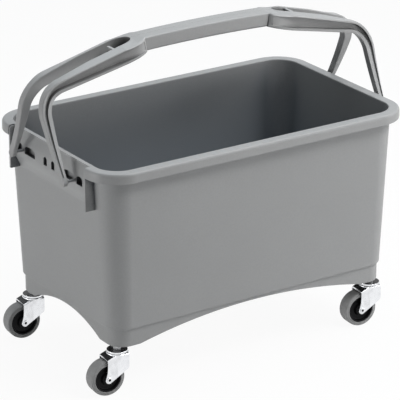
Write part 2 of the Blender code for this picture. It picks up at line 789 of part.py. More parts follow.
def fork_side_outline():
    """The side view of the pressed fork, as (x, z) points: a plate over legs that taper to the axle."""
    axle = Vector((-CASTOR_TRAIL, wheel_radius))
    tail_x = fork_tail_x()
    front_x = FORK_SHOULDER_REACH
    shoulder_z = plate_under_z - FORK_SHOULDER_DROP
    slope = Vector((front_x, shoulder_z)) - axle
    lean = math.atan2(slope.y, slope.x) - math.asin(FORK_EYE_RADIUS / slope.length)
    first = lean - math.pi / 2
    last = -math.pi
    eye = [axle + FORK_EYE_RADIUS * Vector((math.cos(turn), math.sin(turn)))
           for turn in [mix(first, last, step / 8) for step in range(9)]]
    outline = [(tail_x, plate_top_z - FORK_TAIL_DROP), (-FORK_FLAT_REACH, plate_top_z),
               (front_x, plate_top_z), (front_x, shoulder_z)]
    outline += [(point.x, point.y) for point in eye]
    return outline + [(tail_x, shoulder_z)]


def fork_mesh():
    inner = fork_inner_half()
    outer = inner + FORK_STEEL
    side = extruded("fork_side", fork_side_outline(), -outer, outer, "Y")
    far = CASTOR_TRAIL + WHEEL_DIAMETER
    tail_z = plate_under_z - FORK_TAIL_DROP
    under = [(-far, -wheel_radius), (far, -wheel_radius), (far, plate_under_z),
             (-FORK_FLAT_REACH, plate_under_z), (fork_tail_x(), tail_z), (-far, tail_z)]
    throat = extruded("fork_throat", under, -inner, inner, "Y")
    disc_low = plate_under_z + GAP
    disc_top = plate_top_z + GAP
    head = turned("fork_head", [(HEAD_RADIUS, disc_top), (HEAD_RADIUS, disc_low), (STEM_RADIUS, disc_low),
                                (STEM_RADIUS, disc_top)], WHEEL_STEPS)
    stem_hole = cylinders("stem_hole", [((0.0, 0.0, plate_top_z), STEM_RADIUS + GAP, 4 * FORK_STEEL)])
    axle_place = (-CASTOR_TRAIL, 0.0, wheel_radius)
    axle_hole = cylinders("axle_hole", [(axle_place, AXLE_RADIUS + GAP, 4 * outer)], "Y")
    return solid_of("fork", side, [("DIFFERENCE", throat), ("UNION", head), ("DIFFERENCE", stem_hole),
                                   ("DIFFERENCE", axle_hole)])


def axle_mesh():
    """A rivet with a low head at each end and a hollow in each head."""
    face = fork_inner_half() + FORK_STEEL + GAP
    end = face + AXLE_HEAD_THICKNESS
    deep = end - RIVET_HOLLOW_DEPTH
    upper = [(0.0, deep), (RIVET_HOLLOW_RADIUS, deep), (RIVET_HOLLOW_RADIUS, end), (AXLE_HEAD_RADIUS, end),
             (AXLE_HEAD_RADIUS, face), (AXLE_RADIUS, face)]
    lower = [(r, -h) for r, h in reversed(upper)]
    return turned("axle", upper + lower, TURN_STEPS, "Y", closed=False)


def bush_mesh():
    inner = AXLE_RADIUS + GAP
    half = fork_inner_half() - GAP
    outer = inner + BUSH_WALL
    return turned("bush", [(outer, half), (outer, -half), (inner, -half), (inner, half)], TURN_STEPS, "Y")


def stem_mesh():
    head_top = plate_under_z - GAP
    head_low = head_top - STEM_HEAD_THICKNESS
    collar_top = collar_z + STEM_COLLAR_HEIGHT
    top = collar_top + STEM_GRIP_LENGTH
    tip = STEM_RADIUS / 4
    return turned("stem", [(0.0, top), (STEM_RADIUS - tip, top), (STEM_RADIUS, top - tip),
                           (STEM_RADIUS, collar_top), (STEM_HEAD_RADIUS, collar_top),
                           (STEM_HEAD_RADIUS, collar_z), (STEM_RADIUS, collar_z), (STEM_RADIUS, head_top),
                           (STEM_HEAD_RADIUS, head_top), (STEM_HEAD_RADIUS, head_low), (0.0, head_low)],
                  TURN_STEPS, closed=False)


def race_mesh():
    """The upper race: a cap whose skirt comes down round the balls."""
    bore = STEM_RADIUS + GAP
    outer = HEAD_RADIUS - HEAD_EDGE
    inner = outer - RACE_THICKNESS
    low = plate_top_z + GAP + RACE_SKIRT_CLEARANCE
    top = race_z + RACE_THICKNESS
    bevel = RACE_THICKNESS / 2
    return turned("race", [(outer - bevel, top), (outer, top - bevel), (outer, low), (inner, low),
                           (inner, race_z), (bore, race_z), (bore, top)], WHEEL_STEPS)


def balls_mesh():
    """The full ring of balls in its cage, as one beaded ring."""
    turns = [step / 8 * 2 * math.pi for step in range(8)]
    track = BALL_TRACK_RADIUS
    return turned("balls", [(track + BALL_RADIUS * math.cos(t), ball_z - BALL_RADIUS * math.sin(t))
                            for t in turns], TURN_STEPS)


def socket_mesh():
    """A flanged sleeve that holds the stem in the foot's boss."""
    inner = STEM_RADIUS + GAP
    flange_top = socket_z + SOCKET_FLANGE_THICKNESS
    top = socket_z + socket_length
    flange = SOCKET_FLANGE_RADIUS
    return turned("socket", [(socket_radius, top), (socket_radius, flange_top), (flange, flange_top),
                             (flange, socket_z), (inner, socket_z), (inner, top)], TURN_STEPS)


def build_castors():
    zinc = new_material("zinc_plate", ZINC, 0.22, 1.0)
    steel = new_material("race_steel", STEEL, 0.4, 1.0)
    pieces = [("socket", socket_mesh(), new_material("socket_plastic", PALE_PLASTIC, 0.5)),
              ("stem", stem_mesh(), zinc), ("race", race_mesh(), steel), ("balls", balls_mesh(), steel),
              ("fork", fork_mesh(), zinc), ("axle", axle_mesh(), steel), ("bush", bush_mesh(), steel),
              ("wheel", wheel_mesh(), new_material("wheel_black", BLACK_PLASTIC, 0.35)),
              ("tyre", tyre_mesh(), new_material("tyre_grey", TYRE_GREY, 0.7))]
    at_axle = {"axle", "bush", "wheel", "tyre"}
    to_axle = Vector((-CASTOR_TRAIL, 0.0, wheel_radius))
    for end, sign_y in ENDS.items():
        for side, sign_x in SIDES.items():
            name = f"castor_{end}_{side}"
            place = (sign_x * castor_x, sign_y * castor_y, 0.0)
            swivel = add_empty(f"{name}_swivel", place, CASTOR_REST_TURN)
            spin = add_empty(f"{name}_spin", to_axle, 0.0, swivel)
            for piece, mesh, material in pieces:
                add_part(f"{name}_{piece}", mesh, material, spin if piece in at_axle else swivel)


build_tub()
build_bails()
build_hinge_pins()
build_castors()
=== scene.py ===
"""Looks of the wheeled mop bucket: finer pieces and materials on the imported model, in the same frame."""
from collections import namedtuple
from math import asin, atan, atan2, cos, hypot, pi, radians, sin, sqrt, tan

import bmesh
import bpy
from mathutils import Matrix, Vector


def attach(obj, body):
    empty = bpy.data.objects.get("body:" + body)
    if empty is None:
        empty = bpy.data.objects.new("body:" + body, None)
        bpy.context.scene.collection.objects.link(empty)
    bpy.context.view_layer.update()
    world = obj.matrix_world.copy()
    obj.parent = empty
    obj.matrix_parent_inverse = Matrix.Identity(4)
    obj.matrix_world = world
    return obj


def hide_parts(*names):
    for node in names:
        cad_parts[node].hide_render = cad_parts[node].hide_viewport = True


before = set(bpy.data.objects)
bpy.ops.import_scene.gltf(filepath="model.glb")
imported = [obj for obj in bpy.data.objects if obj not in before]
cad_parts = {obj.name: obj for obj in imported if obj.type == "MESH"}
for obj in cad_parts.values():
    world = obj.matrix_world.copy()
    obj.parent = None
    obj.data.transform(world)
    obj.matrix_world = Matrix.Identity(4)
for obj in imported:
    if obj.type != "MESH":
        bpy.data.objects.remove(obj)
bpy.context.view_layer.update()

# Clearance between pieces that touch
GAP = 0.0003

# Castor: wheel
WHEEL_DIAMETER = 0.050
TYRE_WIDTH = 0.020
TYRE_THICKNESS = 0.0060
TYRE_SHOULDER = 0.0036
TYRE_LIP = 0.0005
WHEEL_RIM_DEPTH = 0.0030
WHEEL_DISH = 0.0042
HUB_RADIUS = 0.0080
AXLE_RADIUS = 0.0025
AXLE_HEAD_RADIUS = 0.0036
AXLE_HEAD_THICKNESS = 0.0007
RIVET_HOLLOW_RADIUS = 0.0018
RIVET_HOLLOW_DEPTH = 0.0040
BUSH_WALL = 0.0018

# Castor: fork and swivel head
FORK_STEEL = 0.0020
FORK_SIDE_CLEARANCE = 0.0016
FORK_EYE_RADIUS = 0.0055
FORK_SHOULDER_REACH = 0.0115
FORK_SHOULDER_DROP = 0.0195
FORK_TAIL_REACH = 0.0020
FORK_TAIL_DROP = 0.0050
FORK_FLAT_REACH = 0.0085
FORK_BEND = 0.0034
FORK_EDGE = 0.0004
TYRE_TO_FORK = 0.0066
CASTOR_TRAIL = 0.0185
CASTOR_REST_TURN = radians(-5.0)
HEAD_RADIUS = 0.0152
HEAD_EDGE = 0.0008
BALL_RADIUS = 0.0009
RACE_THICKNESS = 0.0010
RACE_SKIRT_CLEARANCE = 0.0006
RACE_EDGE = 0.0005
STEM_RADIUS = 0.0040
STEM_COLLAR_HEIGHT = 0.0045
STEM_GRIP_LENGTH = 0.0195
SOCKET_WALL = 0.0012
SOCKET_FLANGE_THICKNESS = 0.0014

# Tub: body, given at the step and under the lip
BODY_LENGTH_BOTTOM = 0.4512
BODY_LENGTH_TOP = 0.4752
BODY_WIDTH_BOTTOM = 0.2665
BODY_WIDTH_TOP = 0.2814
BODY_CORNER_BOTTOM = 0.0270
BODY_CORNER_TOP = 0.0360
BODY_HEIGHT = 0.2300
WALL = 0.0030
FLOOR_THICKNESS = 0.0034
FLOOR_FILLET = 0.0130
FLOOR_FILLET_SHARE = 0.6
LIP_REACH = 0.0125
LIP_THICKNESS = 0.0030
BAND_HEIGHT = 0.0142
RIM_ROUND = 0.0056
RIM_INNER_ROUND = 0.0022
SKIRT_HEIGHT = 0.0260
SKIRT_INSET = 0.0030
STEP_ROUND = 0.0018
EDGE_ROUND = 0.0010
ARCH_RISE = 0.0210
SIDE_ARCH_MARGIN = 0.0370
END_ARCH_MARGIN = 0.0420
CASTOR_INSET_END = 0.0116
CASTOR_INSET_SIDE = 0.0172
FOOT_BOSS_WALL = 0.0032

# Tub: hinge aprons on both end walls, and the open bay with its ribs on the left one
BAY_WIDTH = 0.2000
BAY_EDGE = 0.0035
APRON_PROUD = 0.0074
APRON_TOP_PROUD = 0.0032
APRON_HEIGHT = 0.0620
APRON_FLARE_HEIGHT = 0.0150
APRON_FACE_HEIGHT = 0.0200
APRON_ROUND = 0.0060
APRON_LOWER_ROUND = 0.0090
INNER_POCKET_WIDTH = 0.0270
OUTER_POCKET_WIDTH = 0.0150
POCKET_BELOW_PIVOT = 0.0045
POCKET_ABOVE_PIVOT = 0.0075
POCKET_ARCH = 0.0035
POCKET_WEB = 0.0070
POCKET_FLOOR = 0.0012
SLOT_WIDTH = 0.0085
SLOT_SPREAD = 0.0200
RIB_THICKNESS = 0.0034
RIB_HEIGHT = 0.0620
RIB_BACK_FROM_RIM = 0.0010
PIN_RADIUS = 0.0020
PIN_SEAT_DEPTH = 0.0084
MOULDED_EDGE = 0.0007

# Bails
PIVOT_DROP = 0.0275
PIVOT_SPREAD = 0.1360
GRIP_RISE = 0.1490
GRIP_LENGTH = 0.2000
GRIP_DEPTH = 0.0300
GRIP_HEIGHT = 0.0200
GRIP_CROWN = 0.0020
GRIP_ROUND = 0.0026
PARTING_ROUND = 0.0003
LEG_CLEARANCE = 0.0084
FOOT_DEPTH = 0.0120
FOOT_WIDTH = 0.0066
FOOT_TIP_TURN = radians(80.0)
FOOT_ROUND = 0.0008
EYE_SKIN = 0.0016
LEG_WIDTH = 0.0138
LEG_FLARE = 1.3
LEG_TAPER_START = 0.15
FOOT_OUTER_SHARE = 0.10
FOOT_INNER_SHARE = 0.62
LEG_OUTER_SHARE = 0.32
LEG_INNER_SHARE = 0.38
LEG_GROOVE_DEPTH = 0.0050
FOOT_GROOVE_DEPTH = 0.0016
ARM_ROOT_HEIGHT = 0.0172
ARM_HEIGHT = 0.0220
ARM_DEPTH = 0.0117
ARM_SPREAD = 0.0133
ARM_ROUND = 0.0016
ARM_CROWN = 0.0030
ARM_SHED = 0.0006
HEAD_ROUND = 0.0028
SHOULDER_DROP = 0.0404
SHOULDER_RADIUS = 0.0370
CROTCH_SETBACK = 0.0140
CROTCH_LENGTH = 0.0210
CROTCH_RUN_IN = 0.0010
FORK_HEAD_LENGTH = 0.0260
OUTER_FLANGE = 0.0028
INNER_FLANGE = 0.0038
FLANGE_ROUND = 0.0005
GROOVE_OPEN_AT_ARM = 0.6
CHANNEL_DEPTH = 0.0086
CHANNEL_STOP = 0.0030
CHANNEL_FADE = 0.0450
CHANNEL_END_DEPTH = 0.0002
CHANNEL_DRAFT = 0.0010
CHANNEL_ROUND = 0.0008
CHANNEL_EDGE = 0.0004
TONGUE_FROM_GRIP = 0.0480
TONGUE_WIDTH = 0.0040
TONGUE_HEIGHT = 0.0045
TONGUE_PAST_PARTING = 0.0040
TONGUE_RISE = 0.0010
HOLE_WEB = 0.0020

# Facets
CORNER_STEPS = 20
EDGE_STEPS = 5
WHEEL_STEPS = 80
TURN_STEPS = 40
ARCH_STEPS = 56
POCKET_STEPS = 14
SECTION_STEPS = 4
FOOT_STEPS = 8
LEG_STEPS = 12
BEND_STEPS = 18
ARM_STEPS = 14
CROTCH_STEPS = 10
HEAD_STEPS = 6
GRIP_STEPS = 10
PROFILE_STEPS = 4
BEVEL_STEPS = 3

# Mesh tolerances
SAME_PLACE = 1e-6
WELD_DISTANCE = 2e-5
BEVEL_ANGLE = radians(42.0)
SMOOTH_ANGLE = radians(38.0)

# Most of an edge or a section that one rounded corner takes up
MOST_OF_EDGE = 0.49
MOST_OF_SECTION = 0.45

# Parts of a normal by which a face counts as facing up or forwards, and their margin
FACES_UP = 0.8
FACES_FORWARD = 0.5
NORMAL_MARGIN = 0.001

# Heights up the castor, from the floor to the foot of the tub
wheel_radius = WHEEL_DIAMETER / 2
plate_under_z = WHEEL_DIAMETER + TYRE_TO_FORK
plate_top_z = plate_under_z + FORK_STEEL
ball_z = plate_top_z + 2 * GAP + BALL_RADIUS
race_z = ball_z + BALL_RADIUS + GAP
collar_z = race_z + RACE_THICKNESS + GAP
socket_z = collar_z + STEM_COLLAR_HEIGHT + GAP
foot_z = socket_z + SOCKET_FLANGE_THICKNESS + GAP

# Heights up the tub
step_z = foot_z + SKIRT_HEIGHT
rim_z = step_z + BODY_HEIGHT
lip_under_z = rim_z - LIP_THICKNESS
band_z = rim_z - BAND_HEIGHT
floor_top_z = step_z + WALL / 3
floor_under_z = floor_top_z - FLOOR_THICKNESS
pivot_z = rim_z - PIVOT_DROP
grip_z = pivot_z + GRIP_RISE

# Places along and across the tub
skirt_half_length = BODY_LENGTH_BOTTOM / 2 - SKIRT_INSET
skirt_half_width = BODY_WIDTH_BOTTOM / 2 - SKIRT_INSET
castor_x = skirt_half_length - CASTOR_INSET_END
castor_y = skirt_half_width - CASTOR_INSET_SIDE
wall_x = BODY_LENGTH_TOP / 2
rim_x = wall_x + LIP_REACH
leg_x = rim_x + LEG_CLEARANCE
apron_x = wall_x + APRON_PROUD
pivot_y = PIVOT_SPREAD / 2
socket_radius = STEM_RADIUS + GAP + SOCKET_WALL
fork_inner_half = TYRE_WIDTH / 2 + FORK_SIDE_CLEARANCE
fork_outer_half = fork_inner_half + FORK_STEEL

SIDES = {"left": -1, "right": 1}
ENDS = {"front": -1, "rear": 1}


# Mesh tools

def mix(a, b, t):
    return a + (b - a) * t


def stepped(low, high, steps):
    """Evenly spaced values from low to high."""
    return [mix(low, high, step / steps) for step in range(steps + 1)]


def finish_mesh(bm, name):
    """Closes a bmesh into a mesh with its faces pointing out."""
    bmesh.ops.recalc_face_normals(bm, faces=bm.faces)
    mesh = bpy.data.meshes.new(name)
    bm.to_mesh(mesh)
    bm.free()
    return mesh


def linked_object(name, data):
    item = bpy.data.objects.new(name, data)
    bpy.context.scene.collection.objects.link(item)
    return item


def evaluated_mesh(item, name):
    """The mesh of an object with its modifiers; the object goes."""
    bpy.context.view_layer.update()
    graph = bpy.context.evaluated_depsgraph_get()
    mesh = bpy.data.meshes.new_from_object(item.evaluated_get(graph))
    mesh.name = name
    bpy.data.objects.remove(item, do_unlink=True)
    bm = bmesh.new()
    bm.from_mesh(mesh)
    bmesh.ops.remove_doubles(bm, verts=bm.verts, dist=SAME_PLACE)
    bmesh.ops.recalc_face_normals(bm, faces=bm.faces)
    bm.to_mesh(mesh)
    bm.free()
    return mesh


def box(name, low, high):
    """A box from its low and high corner."""
    low = Vector(low)
    high = Vector(high)
    bm = bmesh.new()
    matrix = Matrix.Translation((low + high) / 2) @ Matrix.Diagonal((*(high - low), 1.0))
    bmesh.ops.create_cube(bm, size=1.0, matrix=matrix)
    return finish_mesh(bm, name)


def cylinders(name, items, axis="Z"):
    """Separate cylinders in one mesh, each its centre, radius and length."""
    turn = {"X": Matrix.Rotation(pi / 2, 4, "Y"), "Y": Matrix.Rotation(pi / 2, 4, "X"),
            "Z": Matrix.Identity(4)}[axis]
    bm = bmesh.new()
    for centre, radius, length in items:
        bmesh.ops.create_cone(bm, cap_ends=True, segments=TURN_STEPS, radius1=radius, radius2=radius,
                              depth=length, matrix=Matrix.Translation(centre) @ turn)
    return finish_mesh(bm, name)


def turned(name, profile, steps, axis="Z", closed=True):
    """A profile of (radius, height) points turned about Z and laid along an axis."""
    count = len(profile)
    edges = [(i, (i + 1) % count) for i in range(count if closed else count - 1)]
    mesh = bpy.data.meshes.new(name)
    mesh.from_pydata([(radius, 0.0, height) for radius, height in profile], edges, [])
    item = linked_object(name, mesh)
    screw = item.modifiers.new("turn", "SCREW")
    screw.steps = steps
    screw.render_steps = steps
    screw.use_merge_vertices = True
    screw.merge_threshold = SAME_PLACE
    result = evaluated_mesh(item, name)
    if axis == "Y":
        result.transform(Matrix.Rotation(pi / 2, 4, "X"))
    return result


def softened(corners, steps=EDGE_STEPS):
    """Points of a run of corners, each its coordinates and the radius that rounds it."""
    points = [Vector(corner[:-1]) for corner in corners]
    result = []
    for i, point in enumerate(points):
        radius = corners[i][-1]
        if radius <= 0.0:
            result.append(point)
            continue
        before = points[i - 1]
        after = points[(i + 1) % len(points)]
        start = point.lerp(before, min(MOST_OF_EDGE, radius / (before - point).length))
        end = point.lerp(after, min(MOST_OF_EDGE, radius / (after - point).length))
        for t in stepped(0.0, 1.0, steps):
            result.append(start.lerp(point, t).lerp(point.lerp(end, t), t))
    return result


def extruded(name, outline, low, high, along):
    """An outline of (other axis, z) points extruded between two places along X or Y."""
    curve = bpy.data.curves.new(name, "CURVE")
    curve.dimensions = "2D"
    curve.fill_mode = "BOTH"
    curve.extrude = (high - low) / 2
    spline = curve.splines.new("POLY")
    spline.points.add(len(outline) - 1)
    for point, (across, up) in zip(spline.points, outline):
        point.co = (across, up, 0.0, 1.0)
    spline.use_cyclic_u = True
    mesh = evaluated_mesh(linked_object(name, curve), name)
    middle = (low + high) / 2
    if along == "Y":
        axes = Matrix(((1, 0, 0, 0), (0, 0, -1, middle), (0, 1, 0, 0), (0, 0, 0, 1)))
    else:
        axes = Matrix(((0, 0, 1, middle), (1, 0, 0, 0), (0, 1, 0, 0), (0, 0, 0, 1)))
    mesh.transform(axes)
    return mesh


def joined(name, meshes):
    """Several separate closed meshes in one."""
    bm = bmesh.new()
    for mesh in meshes:
        bm.from_mesh(mesh)
    return finish_mesh(bm, name)


def half_turned(mesh):
    """A shape of the right end, turned half round to the left end."""
    other = mesh.copy()
    other.transform(Matrix.Rotation(pi, 4, "Z"))
    return other


def at_both_ends(name, mesh):
    """The same shape at both ends."""
    return joined(name, [mesh, half_turned(mesh)])


def carved(name, start, steps, edge):
    """A mesh after (operation, mesh) steps, with its sharp edges rounded."""
    item = linked_object(name, start)
    cutters = []
    for operation, mesh in steps:
        cutter = linked_object(mesh.name, mesh)
        cutters.append(cutter)
        step = item.modifiers.new(mesh.name, "BOOLEAN")
        step.operation = operation
        step.solver = "EXACT"
        step.object = cutter
    weld = item.modifiers.new("weld", "WELD")
    weld.merge_threshold = WELD_DISTANCE
    bevel = item.modifiers.new("edges", "BEVEL")
    bevel.limit_method = "ANGLE"
    bevel.angle_limit = BEVEL_ANGLE
    bevel.width = edge
    bevel.segments = BEVEL_STEPS
    bevel.use_clamp_overlap = True
    bevel.miter_outer = "MITER_ARC"
    result = evaluated_mesh(item, name)
    for cutter in cutters:
        bpy.data.objects.remove(cutter, do_unlink=True)
    return result


def loft(name, rings):
    """A closed body through rings of equal point counts, capped at both ends."""
    bm = bmesh.new()
    rows = [[bm.verts.new(point) for point in ring] for ring in rings]
    count = len(rows[0])
    for low, high in zip(rows, rows[1:]):
        for i in range(count):
            j = (i + 1) % count
            bm.faces.new((low[i], low[j], high[j], high[i]))
    bm.faces.new(rows[0])
    bm.faces.new(rows[-1])
    return finish_mesh(bm, name)


# Materials

# Colours
TUB_GREY = (0.285, 0.287, 0.287)
BAIL_GREY = (0.290, 0.291, 0.291)
PALE_PLASTIC = (0.55, 0.55, 0.53)
BLACK_PLASTIC = (0.005, 0.005, 0.006)
TYRE_GREY = (0.265, 0.265, 0.265)
ZINC = (0.80, 0.81, 0.83)
# Painted dark reflection and shade for the up-facing and inner faces of the plated parts
SHADE_REFLECTION_DARK = (0.030, 0.031, 0.033)
STEEL = (0.55, 0.55, 0.56)
DULL_STEEL = (0.22, 0.22, 0.225)

# Noise patterns, with the range of the noise that shows
Pattern = namedtuple("Pattern", "scale detail roughness low high", defaults=(0.5, 0.0, 1.0))
PLASTIC_CLOUD = Pattern(7.0, 3.0, 0.5, 0.35, 0.65)
PLASTIC_SPECK = Pattern(420.0, 2.0, 0.5, 0.42, 0.62)
PLASTIC_RUB = Pattern(55.0, 3.0, 0.5, 0.38, 0.62)
PLASTIC_STREAK = Pattern(14.0, 4.0, 0.6, 0.3, 0.7)
PLASTIC_GRAIN = Pattern(1500.0, 1.0)
PLASTIC_WAVE = Pattern(60.0, 2.0)
METAL_CLOUD = Pattern(130.0, 3.0, 0.5, 0.35, 0.65)
METAL_LINES = Pattern(260.0, 3.0, 0.6, 0.3, 0.7)
RUBBER_DUST = Pattern(90.0, 4.0, 0.6, 0.35, 0.68)
RUBBER_SCUFF = Pattern(600.0, 3.0, 0.5, 0.55, 0.70)
RUBBER_GRAIN = Pattern(1800.0, 2.0)
STREAK_SQUEEZE = (1.0, 1.0, 7.0)
LINE_SQUEEZE = (1.0, 1.0, 9.0)

# Bumps, as their strength and height
WAVE_BUMP = (0.03, 0.0008)
ROLLING_BUMP = (0.05, 0.0002)
RUBBER_BUMP = (0.16, 0.0004)
GRAIN_HEIGHT = 0.0004

# Shades of a finish's own colour, how much of them shows, and how far its roughness strays
CLOUD_SHADES = (0.98, 1.02)
SPECK_SHADE = 0.90
SPECK_SHARE = 0.30
RUBBED_SHADE = 1.22
RUBBED_SHARE = 0.6
METAL_SHADES = (0.90, 1.04)
BRIGHT_SHADE = 1.10
DUST_SHADES = (0.88, 1.12)
SCUFF_SHADE = 1.35
SCUFF_SHARE = 0.35
PLASTIC_STRAY = (-0.015, 0.02)
METAL_STRAY = (-0.05, 0.08)
RUBBER_STRAY = (-0.08, 0.06)

# Sharpness of the edges that are rubbed
PLASTIC_EDGE = (0.53, 0.62)
METAL_EDGE = (0.52, 0.60)

# Painted shade in hollows: how wide one counts, how open it is where the painted shade is darkest and where
# it stops, and its shades
Hollow = namedtuple("Hollow", "reach low high shades")
# Painted shade in small hollows, creases and between parts
HOLLOW_SHADE = Hollow(0.028, 0.25, 0.58, (0.16, 0.16, 0.16))
# Painted shade deep in the hole of the fork head
HOLE_SHADE = Hollow(0.028, 0.35, 0.75, (0.03, 0.03, 0.03))
# Painted bluish shade inside the tub, and painted shade in its corners
INSIDE = Hollow(0.40, 0.30, 0.58, (0.64, 0.70, 0.77))
CORNER = Hollow(0.065, 0.62, 0.94, (0.20, 0.23, 0.27))
CORNER_FULL = 0.3
HOLLOW_SAMPLES = 12

# Places of the colour sockets of a mix node, whose names repeat
MIX_FIRST = 6
MIX_SECOND = 7
MIX_RESULT = 2


def opaque(colour):
    """A colour with its alpha; a node's output stays as it is."""
    return (*colour, 1.0) if isinstance(colour, tuple) else colour


def scaled(colour, shade):
    return tuple(channel * shade for channel in colour)


def tinted(colour, shades):
    return tuple(channel * shade for channel, shade in zip(colour, shades))


def set_inputs(tree, node, inputs):
    """Sets a node's inputs to constants, or links them to the outputs that feed them."""
    for name, value in inputs.items():
        if isinstance(value, bpy.types.NodeSocket):
            tree.links.new(value, node.inputs[name])
        else:
            node.inputs[name].default_value = value


def add_node(tree, kind, output, inputs, **settings):
    """The named output of a new node."""
    node = tree.nodes.new(f"ShaderNode{kind}")
    for name, value in settings.items():
        setattr(node, name, value)
    set_inputs(tree, node, inputs)
    return node.outputs[output]


class Shader:
    """A material's node tree, with short ways to add nodes."""

    def __init__(self, name, colour, roughness, metallic=0.0):
        self.material = bpy.data.materials.new(name)
        self.material.use_nodes = True
        self.tree = self.material.node_tree
        self.feed({"Base Color": opaque(colour), "Roughness": roughness, "Metallic": metallic})
        self.place = self.add("TexCoord", "Object", {})

    def feed(self, inputs):
        set_inputs(self.tree, self.tree.nodes["Principled BSDF"], inputs)

    def add(self, kind, output, inputs, **settings):
        return add_node(self.tree, kind, output, inputs, **settings)

    def squeezed(self, scale):
        """Coordinates that run faster up Z, to draw a noise out into level lines."""
        return self.add("Mapping", "Vector", {"Vector": self.place, "Scale": scale})

    def noise(self, pattern, place=None):
        return self.add("TexNoise", "Fac", {"Scale": pattern.scale, "Detail": pattern.detail,
                                            "Roughness": pattern.roughness,
                                            "Vector": self.place if place is None else place})

    def ranged(self, value, low, high, to_low=0.0, to_high=1.0):
        """A value carried from one range to another and held at its ends."""
        return self.add("MapRange", "Result", {"Value": value, "From Min": low, "From Max": high,
                                               "To Min": to_low, "To Max": to_high})

    def shown(self, pattern, to_low=0.0, to_high=1.0):
        """A noise pattern over the range of it that shows."""
        return self.ranged(self.noise(pattern), pattern.low, pattern.high, to_low, to_high)

    def times(self, first, second):
        return self.add("Math", "Value", {0: first, 1: second}, operation="MULTIPLY")

    def blend(self, share, first, second):
        """A mix of two colours; each is a colour or the output of another mix."""
        inputs = {"Factor": share, MIX_FIRST: opaque(first), MIX_SECOND: opaque(second)}
        return self.add("Mix", MIX_RESULT, inputs, data_type="RGBA")

    def mottled(self, pattern, colour, shades):
        dark, pale = shades
        return self.blend(self.shown(pattern), scaled(colour, dark), scaled(colour, pale))

    def edges(self, low, high):
        """One along raised edges and nought elsewhere."""
        return self.ranged(self.add("NewGeometry", "Pointiness", {}), low, high)

    def depth(self, hollow, own_only=False):
        """One deep in hollows and nought on open faces."""
        openness = self.add("AmbientOcclusion", "AO", {"Distance": hollow.reach},
                            samples=HOLLOW_SAMPLES, only_local=own_only)
        return self.ranged(openness, hollow.low, hollow.high, 1.0, 0.0)

    def near_middle(self, low, high):
        """One at the low distance from the piece's middle and nought at the high one."""
        along = self.add("SeparateXYZ", "X", {"Vector": self.place})
        distance = self.add("Math", "Value", {0: along}, operation="ABSOLUTE")
        return self.ranged(distance, low, high, 1.0, 0.0)

    def vary_roughness(self, noise, pattern, roughness, stray):
        ends = (roughness + step for step in stray)
        self.feed({"Roughness": self.ranged(noise, pattern.low, pattern.high, *ends)})

    def bump(self, heights):
        """Bumps from (height output, strength, distance) rows, laid one over another."""
        normal = {}
        for height, strength, distance in heights:
            inputs = {"Height": height, "Strength": strength, "Distance": distance, **normal}
            normal = {"Normal": self.add("Bump", "Normal", inputs)}
        self.feed(normal)


def plastic_material(name, colour, roughness, grain=0.10, gloss=0.5, vessel=False, recess=None):
    """Moulded plastic: fine spark grain, faint flow marks, edges rubbed paler and painted shade in the
    hollows.

    The inside of a vessel gets painted shade with a bluish tint, darkest in its corners. The recess is a pair
    of distances from the middle between which deep hollows get still darker painted shade.
    """
    finish = Shader(name, colour, roughness)
    finish.feed({"Specular IOR Level": gloss})
    base = finish.mottled(PLASTIC_CLOUD, colour, CLOUD_SHADES)
    base = finish.blend(finish.shown(PLASTIC_SPECK, 0.0, SPECK_SHARE), base, scaled(colour, SPECK_SHADE))
    worn = finish.times(finish.edges(*PLASTIC_EDGE), finish.shown(PLASTIC_RUB, 0.0, RUBBED_SHARE))
    base = finish.blend(worn, base, scaled(colour, RUBBED_SHADE))
    # Painted shade: the inside of the vessel darkens with a bluish tint, and its corners darker still
    if vessel:
        inside = finish.depth(INSIDE, own_only=True)
        base = finish.blend(inside, base, tinted(colour, INSIDE.shades))
        corner = finish.times(finish.ranged(inside, 0.0, CORNER_FULL), finish.depth(CORNER))
        base = finish.blend(corner, base, tinted(colour, CORNER.shades))
    # Painted shade deep in the hole of the fork head, darkest near the crotch
    if recess is not None:
        dark = finish.times(finish.depth(HOLE_SHADE), finish.near_middle(*recess))
        base = finish.blend(dark, base, tinted(colour, HOLE_SHADE.shades))
    # Painted shade: the base colour darkens where ambient occlusion finds a hollow
    finish.feed({"Base Color": finish.blend(finish.depth(HOLLOW_SHADE), base, tinted(colour, HOLLOW_SHADE.shades))})
    streaks = finish.noise(PLASTIC_STREAK, finish.squeezed(STREAK_SQUEEZE))
    finish.vary_roughness(streaks, PLASTIC_STREAK, roughness, PLASTIC_STRAY)
    finish.bump([(finish.noise(PLASTIC_GRAIN), grain, GRAIN_HEIGHT),
                 (finish.noise(PLASTIC_WAVE), *WAVE_BUMP)])
    return finish.material


def metal_material(name, colour, roughness):
    """Plated or plain steel: cloudy tone, fine rolling marks, edges rubbed bright."""
    finish = Shader(name, colour, roughness, 1.0)
    base = finish.mottled(METAL_CLOUD, colour, METAL_SHADES)
    finish.feed({"Base Color": finish.blend(finish.edges(*METAL_EDGE), base, scaled(colour, BRIGHT_SHADE))})
    lines = finish.noise(METAL_LINES, finish.squeezed(LINE_SQUEEZE))
    finish.vary_roughness(lines, METAL_LINES, roughness, METAL_STRAY)
    finish.bump([(lines, *ROLLING_BUMP)])
    return finish.material


